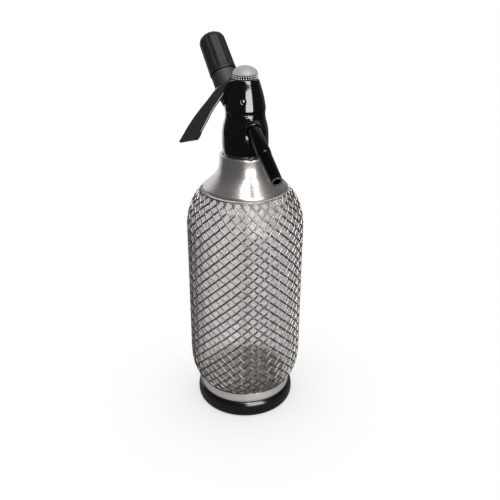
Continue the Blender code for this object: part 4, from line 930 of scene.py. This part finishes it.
# Lever housing: the upper black casting. Two lugs hold the lever between them, and a slot
# lets it reach the valve stem.
LEVER_TURN, LEVER_WIDTH, SLOT_CLEARANCE = 115.0, 0.0096, 0.0003
LUG_REACH, LUG_HEIGHT, LUG_WALL = 0.0170, 0.0146, 0.0024
SLOT_BACK, SLOT_LEDGE, SLOT_FRONT, EYE_ROOM = -0.0068, 0.0116, 0.0238, 0.0006
STEM_HOLE_RADIUS, SPRING_ROOM_RADIUS, PIN_RADIUS, BOSS_RADIUS = 0.0023, 0.0066, 0.0015, 0.0075
lever_side = outward_at(LEVER_TURN, 0)
LEVER_FRAME = (Matrix.Translation((0, 0, PIN_HEIGHT))
               @ Matrix.Rotation(math.atan2(lever_side.y, lever_side.x), 4, "Z"))
ACROSS = Matrix.Rotation(math.pi / 2, 4, "X")
PIN_FRAME = LEVER_FRAME @ ACROSS


def plate(outline, half_width, place=None):
    """A plate in the X-Z plane, with the outline's (x, z) points, centred on Y."""
    bm = bmesh.new()
    near = bm.faces.new([bm.verts.new((x, -half_width, z)) for x, z in outline])
    moved = [item for item in bmesh.ops.extrude_face_region(bm, geom=[near])["geom"]
             if isinstance(item, bmesh.types.BMVert)]
    bmesh.ops.translate(bm, verts=moved, vec=(0, 2 * half_width, 0))
    bmesh.ops.recalc_face_normals(bm, faces=bm.faces)
    if place is not None:
        bm.transform(place)
    return bm


slot_floor = -2 * HUB_EYE_RADIUS
slot_high = PIN_DEPTH - 4 * SLOT_CLEARANCE
slot_half = LEVER_WIDTH / 2 + SLOT_CLEARANCE
boss_top = HEAD_TOP + BOSS_HEIGHT
slot_outline = [(SLOT_BACK, slot_floor), (SLOT_FRONT, slot_floor), (SLOT_FRONT, slot_high + OVERCUT),
                (SLOT_LEDGE, slot_high + OVERCUT), (SLOT_LEDGE, slot_high), (HUB_EYE_RADIUS, slot_high),
                (HUB_EYE_RADIUS, HUB_EYE_RADIUS + EYE_ROOM), (SLOT_BACK, HUB_EYE_RADIUS + EYE_ROOM)]
lug_outline = [(LUG_REACH * x, LUG_HEIGHT * z) for x, z in
               ((0.30, 1.0), (0.78, 1.0), (0.80, 1.0), (0.88, 0.72), (0.95, 0.445), (0.982, 0.055),
                (1.0, -0.31), (0.30, -0.31))]
arm_room = [(0, ARM_START - GAP), (ARM_ROOT_RADIUS + GAP, ARM_START - GAP),
            (ARM_ROOT_RADIUS + GAP, ARM_ROOT_END), (ARM_RADIUS + GAP, ARM_FLARE_END),
            (ARM_RADIUS + GAP, ARM_END), (0, ARM_END)]
hood_room = stepped(HOOD_START - OVERCUT, (HOOD_RADIUS + GAP, SPOUT_START + OVERCUT))
pin_hole = stepped(-HEAD_RADIUS, (PIN_RADIUS + GAP, HEAD_RADIUS))
valve_room = stepped(HOUSING_BASE - OVERCUT / 2, (STEM_HOLE_RADIUS, PIN_HEIGHT + slot_floor - GAP),
                     (SPRING_ROOM_RADIUS, boss_top + OVERCUT / 2))
outline = head_band(HOUSING_BASE, HEAD_TOP)
outline += [(BOSS_RADIUS, HEAD_TOP), (BOSS_RADIUS, boss_top), (0, boss_top)]
housing = moulded("lever_block", lathe(outline, ROUND_BODY),
                  [plate(lug_outline, slot_half + LUG_WALL, LEVER_FRAME)],
                  [lathe(valve_room, ROUND_BORE), plate(slot_outline, slot_half, LEVER_FRAME),
                   lathe(arm_room, ROUND_ARM, HOLDER_FRAME), lathe(hood_room, ROUND_ARM, SPOUT_FRAME),
                   lathe(pin_hole, ROUND_HOLE, PIN_FRAME)],
                  glossy_black, MOULD_DETAIL)
stands_for(housing, "head", "head_black", "lever_housing")


# Lever's pin: a short turned steel pin with rounded bright ends. It is pressed through both
# lugs, and the lever's hub turns on it.
PIN_DOMING, PIN_PROUD = 0.0011, 0.0003
half = head_radius(PIN_HEIGHT) + PIN_PROUD
dull_steel = finish_for("pin_dull", (0.30, 0.30, 0.30), 0.20, 1.0, mottle=0.04, uneven=0.04)
outline = [(0, -half)] + arc((0, -half + PIN_DOMING), (PIN_RADIUS, PIN_DOMING), -82, 0, 8)
outline += arc((0, half - PIN_DOMING), (PIN_RADIUS, PIN_DOMING), 0, 82, 8) + [(0, half)]
pin = piece_of("hinge_pin", lathe(outline, ROUND_PIN, PIN_FRAME), dull_steel)
stands_for(pin, "head", "pin_steel", "lever_pin")


# Lever: a dark grey moulding, hollow on the bottle's side and forked round the valve stem.
# The ribs beside the hollow are set back, and a thin light grey bead along each of them is a painted
# highlight.
LEVER_LENGTH, LEVER_DROP = 0.0561, 0.0386
LEVER_WALL, LEVER_WEB, NOSE_REACH, FORK_HALF = 0.0016, 0.0020, 0.0050, 0.0026
RIB_REACH, RIB_DEPTH, TIP_EASE, LEVER_DETAIL = 0.0013, 0.0013, 0.0016, 0.00034
SIDE_BACK, SIDE_STEP, HUB_FRONT = -0.5, 0.0006, 0.0063
FORK_BACK, FORK_FRONT, FORK_HIGH = -0.0090, 0.0084, 0.0168
EDGE_RADIUS, EDGE_SIDES, EDGE_REACH, EDGE_INSET = 0.00050, 8, 0.1, 0.8 * RIB_DEPTH
lever_outer = ((0.128, 0.223), (0.207, 0.363), (0.317, 0.290), (0.430, 0.166), (0.567, -0.083),
               (0.722, -0.360), (0.841, -0.606), (0.955, -0.881), (0.984, -0.945))
lever_end = ((0.990, -0.975), (0.980, -0.995), (0.960, -1.0), (0.920, -0.985), (0.722, -0.907))
lever_inner = ((0.699, -0.860), (0.665, -0.746), (0.588, -0.539), (0.503, -0.306), (0.433, -0.145),
               (0.340, 0.049), (0.308, 0.127), (0.283, 0.140), (0.232, 0.057), (0.152, -0.041))
toward_bottle = Vector((-0.856, 0, -0.517)) * RIB_REACH


def on_lever(shares, steps=0):
    """Points given as shares of the lever's length and drop, smoothed in steps."""
    points = [(LEVER_LENGTH * x, LEVER_DROP * z) for x, z in shares]
    return smooth_line(points, steps) if steps else points


outline = [(HUB_FRONT, HUB_EYE_RADIUS)] + on_lever(lever_outer, 6) + on_lever(lever_end)
inner_from = len(outline) - 1
outline += on_lever(lever_inner, 6) + arc((0, 0), (HUB_EYE_RADIUS, HUB_EYE_RADIUS), -80, -170, 10)
outline += [(-NOSE_REACH, 0.3 * HUB_EYE_RADIUS), (-NOSE_REACH, HUB_EYE_RADIUS)]
hollow = [(x - 0.9 * LEVER_WEB, z - 0.6 * LEVER_WEB) for x, z in on_lever(smooth_line(lever_outer[3:7], 5))]
hollow += on_lever(((0.900, -0.840), (0.620, -0.800), (0.500, -0.450), (0.400, -0.180)))
fork = [(FORK_BACK, slot_floor), (FORK_FRONT, slot_floor), (FORK_FRONT, FORK_HIGH), (FORK_BACK, FORK_HIGH)]
lever_grey = finish_for("lever_moulding", (0.030, 0.031, 0.036), 0.34, grain=1500,
                        grain_depth=0.00003, uneven=0.08)
# Painted highlight: light grey beads along the ribs' edges.
edge_painted_highlight = finish_for("lever_edge_painted_highlight", (0.80, 0.80, 0.82), 0.30, grain_depth=0.00001)


def lever_layer(half_width, reach, tip_back):
    """One layer of the lever: its bottle side moved out, and its tip shortened."""
    layer = []
    for index, (x, z) in enumerate(outline):
        if index >= inner_from and x > 0.3 * LEVER_LENGTH:
            x, z = x + reach * toward_bottle.x, z + reach * toward_bottle.z
        layer.append((x, max(z, -LEVER_DROP + tip_back)))
    return plate(layer, half_width)


def edge_tube(line, aside):
    """A thin tube along a line, moved aside and tapered to both ends."""
    bm = bmesh.new()
    loops = []
    last = len(line) - 1
    for index, point in enumerate(line):
        ahead = (line[min(index + 1, last)] - line[max(index - 1, 0)]).normalized()
        across = ahead.cross(Vector((0, 1, 0)))
        size = EDGE_RADIUS * min(1.0, 0.2 + 0.25 * min(index, last - index))
        centre = point + Vector((0, aside, 0))
        loops.append([bm.verts.new(centre + size * (math.cos(turn) * across + Vector((0, math.sin(turn), 0))))
                      for turn in (math.tau * k / EDGE_SIDES for k in range(EDGE_SIDES))])
    for low, high in zip(loops, loops[1:]):
        for k in range(EDGE_SIDES):
            following = (k + 1) % EDGE_SIDES
            bm.faces.new((low[k], low[following], high[following], high[k])).smooth = True
    for end in (loops[0][::-1], loops[-1]):
        bm.faces.new(end)
    bmesh.ops.recalc_face_normals(bm, faces=bm.faces)
    return bm


lever = moulded("squeeze_lever", lever_layer(LEVER_WIDTH / 2, SIDE_BACK, TIP_EASE),
                [lever_layer(LEVER_WIDTH / 2 - SIDE_STEP, SIDE_BACK, 0.35 * TIP_EASE),
                 lever_layer(LEVER_WIDTH / 2 - RIB_DEPTH, 1, 0)],
                [plate(hollow, LEVER_WIDTH / 2 - LEVER_WALL), plate(fork, FORK_HALF),
                 lathe(stepped(-LEVER_WIDTH, (PIN_RADIUS + GAP, LEVER_WIDTH)), ROUND_HOLE, ACROSS)],
                lever_grey, LEVER_DETAIL, rounds=4)
edge_line = [Vector((x, 0, z)) + EDGE_REACH * toward_bottle for x, z in on_lever(lever_inner[1:7], 6)]
grafted(lever, [edge_tube(edge_line, side * (LEVER_WIDTH / 2 - EDGE_INSET)) for side in (-1, 1)], edge_painted_highlight)
lever.data.transform(LEVER_FRAME)
stands_for(lever, "lever", "lever_grey", "lever")


# Dome: a turned and satin-plated nut that holds the spring down. Two rows of bright beads
# stand in a groove round its rim and give the fingers a hold. The groove's wall is painted
# near black as painted shade between the beads.
DOME_RADIUS, DOME_RIM_HEIGHT, DOME_RISE = 0.0106, 0.0034, 0.0066
DOME_BEADS, BEAD_RADIUS, LOW_ROW, HIGH_ROW = 31, 0.00064, 0.20, 0.70
GROOVE_RADIUS, DOME_EDGE, DOME_EASE = DOME_RADIUS - 0.0009, DOME_RADIUS - 0.0002, 0.0001
GROOVE_FOOT, SEAT_RADIUS = 0.0004, 0.0057
dome_base = HEAD_TOP + GAP
rim_top = dome_base + DOME_RIM_HEIGHT
bore_top = boss_top + GAP
satin_silver = finish_for("dome_satin", (0.62, 0.605, 0.59), 0.62, 0.12, grain=2600,
                          grain_depth=0.00002, mottle=0.08, mottle_size=420, uneven=0.06,
                          Specular_IOR_Level=0.2)
bright_bead = finish_for("bead_bright", (0.72, 0.70, 0.68), 0.34, 0.55, grain=2600)
groove_painted_shade = finish_for("bead_wall_painted_shade", (0.022, 0.021, 0.020), 0.5, grain=2600)
outline = [(BOSS_RADIUS + GAP, dome_base), (GROOVE_RADIUS, dome_base),
           (GROOVE_RADIUS, dome_base + GROOVE_FOOT), (GROOVE_RADIUS, rim_top - DOME_EASE)]
outline += arc((0, rim_top + DOME_EASE), (DOME_EDGE, DOME_RISE - DOME_EASE), 2, 88, 22)
outline += [(0, rim_top + DOME_RISE), (0, bore_top + SPRING_SEAT), (SEAT_RADIUS, bore_top + SPRING_SEAT),
            (SEAT_RADIUS, bore_top), (BOSS_RADIUS + GAP, bore_top)]
dome_mesh = mesh_of("dome_plain", lathe(outline, ROUND_BODY))
dome_mesh.shade_smooth()
dome_mesh.materials.append(satin_silver)
dome_mesh.materials.append(groove_painted_shade)
# Painted shade: the groove's wall faces get the near-black finish.
for face in dome_mesh.polygons:
    if math.hypot(face.center.x, face.center.y) > GROOVE_RADIUS - GAP and face.center.z < rim_top:
        face.material_index = 1
beading, given, bead_values = geometry_tree("beaded_rim", (
    ("Beads", "Int", DOME_BEADS), ("Rim radius", "Float", DOME_RADIUS - BEAD_RADIUS),
    ("Bead radius", "Float", BEAD_RADIUS),
    ("Low row", "Vector", (0, 0, dome_base + LOW_ROW * DOME_RIM_HEIGHT)),
    ("High row", "Vector", (0, 0, dome_base + HIGH_ROW * DOME_RIM_HEIGHT)),
    ("Finish", "Material", bright_bead)))
nodes = beading.nodes
circle = wire_up(nodes, "GeometryNodeMeshCircle", {"Vertices": given["Beads"], "Radius": given["Rim radius"]})
rows = [wire_up(nodes, "GeometryNodeTransform",
                {"Geometry": circle.outputs[0], "Translation": given[row]}).outputs[0]
        for row in ("Low row", "High row")]
bead = wire_up(nodes, "GeometryNodeMeshUVSphere",
               {"Segments": 10, "Rings": 8, "Radius": given["Bead radius"]})
strung = wire_up(nodes, "GeometryNodeInstanceOnPoints",
                 {"Points": joined_up(beading, rows), "Instance": bead.outputs[0]})
beads = dressed_up(nodes, strung.outputs[0], given["Finish"])
dome = grown("beaded_dome", dome_mesh, beading, bead_values, joined_up(beading, [given["Geometry"], beads]))
stands_for(dome, "dome", "dome_silver", "dome_cap")


# Charger: an 8 gram steel gas charger. Its neck is pierced when the holder is screwed on to
# the brass nipple.
NECK_EASE, SHOULDER_HEIGHT = 0.0006, 0.0090
charger_steel = finish_for("charger_plating", (0.66, 0.66, 0.67), 0.24, 1.0, grain=1200,
                           grain_depth=0.00002, mottle=0.08)
dress(brass, "charger_nipple")
charger_start = PIERCER_TIP + GAP
charger_end = charger_start + CHARGER_LENGTH
shoulder_at = charger_start + CHARGER_NECK
outline = [(0, charger_start), (CHARGER_NECK_RADIUS - NECK_EASE, charger_start),
           (CHARGER_NECK_RADIUS, charger_start + NECK_EASE), (CHARGER_NECK_RADIUS, shoulder_at)]
outline += arc((CHARGER_NECK_RADIUS, shoulder_at + SHOULDER_HEIGHT),
               (CHARGER_RADIUS - CHARGER_NECK_RADIUS, SHOULDER_HEIGHT), -72, 0, 12)
outline += arc((0, charger_end - CHARGER_RADIUS), (CHARGER_RADIUS, CHARGER_RADIUS), 0, 86, 16)
outline += [(0, charger_end)]
gas = piece_of("gas_charger", lathe(outline, ROUND_BORE, HOLDER_FRAME), charger_steel)
stands_for(gas, "charger", "charger_steel", "co2_charger")


# Charger holder: a charcoal moulded cap with lengthwise flutes and a rounded end. It presses
# the charger on the piercing pin as it is screwed on to the nipple.
CAP_RADIUS, CAP_END_RADIUS, CAP_RIM, CAP_WALL, CAP_ROUNDING = 0.0117, 0.0112, 0.0023, 0.0028, 0.0075
CAP_FLUTES, FLUTE_DEPTH, STEPS_A_FLUTE, FLUTE_SHARPNESS = 12, 0.0005, 12, 1.6
CAP_EASE, CAP_CENTRE, FLUTED_INSET = 0.0003, 0.0006, 0.00012
FLUTES_START = ((0.00005, 1.15, 0.25), (0.0001, 1.35, 0.8))
cap_base = ARM_END + GAP
cap_end = charger_end + GAP + CAP_WALL
corner = cap_end - CAP_ROUNDING
fluted_from = cap_base + 1.6 * CAP_RIM
fluted_radius = CAP_RADIUS - FLUTED_INSET
rows = [(NIPPLE_RADIUS + GAP, cap_base, 0), (CAP_RADIUS - CAP_EASE, cap_base, 0),
        (CAP_RADIUS, cap_base + CAP_EASE, 0), (CAP_RADIUS, cap_base + CAP_RIM, 0)]
rows += [(CAP_RADIUS - inset, cap_base + rise * CAP_RIM, fluting) for inset, rise, fluting in FLUTES_START]
rows += [(fluted_radius + (CAP_END_RADIUS - fluted_radius) * step / 6,
          fluted_from + (corner - fluted_from) * step / 6, 1) for step in range(7)]
rows += [(radius, height, radius / CAP_END_RADIUS)
         for radius, height in arc((0, corner), (CAP_END_RADIUS, CAP_ROUNDING), 6, 84, 13)]
narrow = CHARGER_RADIUS + GAP
wide_top = ARM_END + NIPPLE_PROUD + GAP
bore = [(CAP_CENTRE, charger_end + GAP)]
bore += arc((0, charger_end - CHARGER_RADIUS), (narrow, narrow), 86, 0, 12)
bore += [(narrow, wide_top), (NIPPLE_RADIUS + GAP, wide_top)]
rows += [(CAP_CENTRE, cap_end, 0)] + [(radius, height, 0) for radius, height in bore]
around = CAP_FLUTES * STEPS_A_FLUTE
cap = bmesh.new()
rings = []
for radius, height, fluting in rows:
    ring = []
    for step in range(around):
        turn = math.tau * step / around
        wave = (0.5 - 0.5 * math.cos(CAP_FLUTES * turn)) ** FLUTE_SHARPNESS
        reach = radius - FLUTE_DEPTH * fluting * wave
        ring.append(cap.verts.new((reach * math.cos(turn), reach * math.sin(turn), height)))
    rings.append(ring)
for low, high in zip(rings, rings[1:] + rings[:1]):
    for step in range(around):
        following = (step + 1) % around
        cap.faces.new([low[step], low[following], high[following], high[step]])
bmesh.ops.remove_doubles(cap, verts=cap.verts, dist=0.0000005)
bmesh.ops.recalc_face_normals(cap, faces=cap.faces)
cap.transform(HOLDER_FRAME)
charcoal = finish_for("holder_charcoal", (0.013, 0.016, 0.0195), 0.56, grain=1300,
                      grain_depth=0.00003, uneven=0.08, Specular_IOR_Level=0.35)
holder = piece_of("fluted_holder", cap, charcoal, sharp=50)
stands_for(holder, "holder", "holder_grey", "charger_holder")
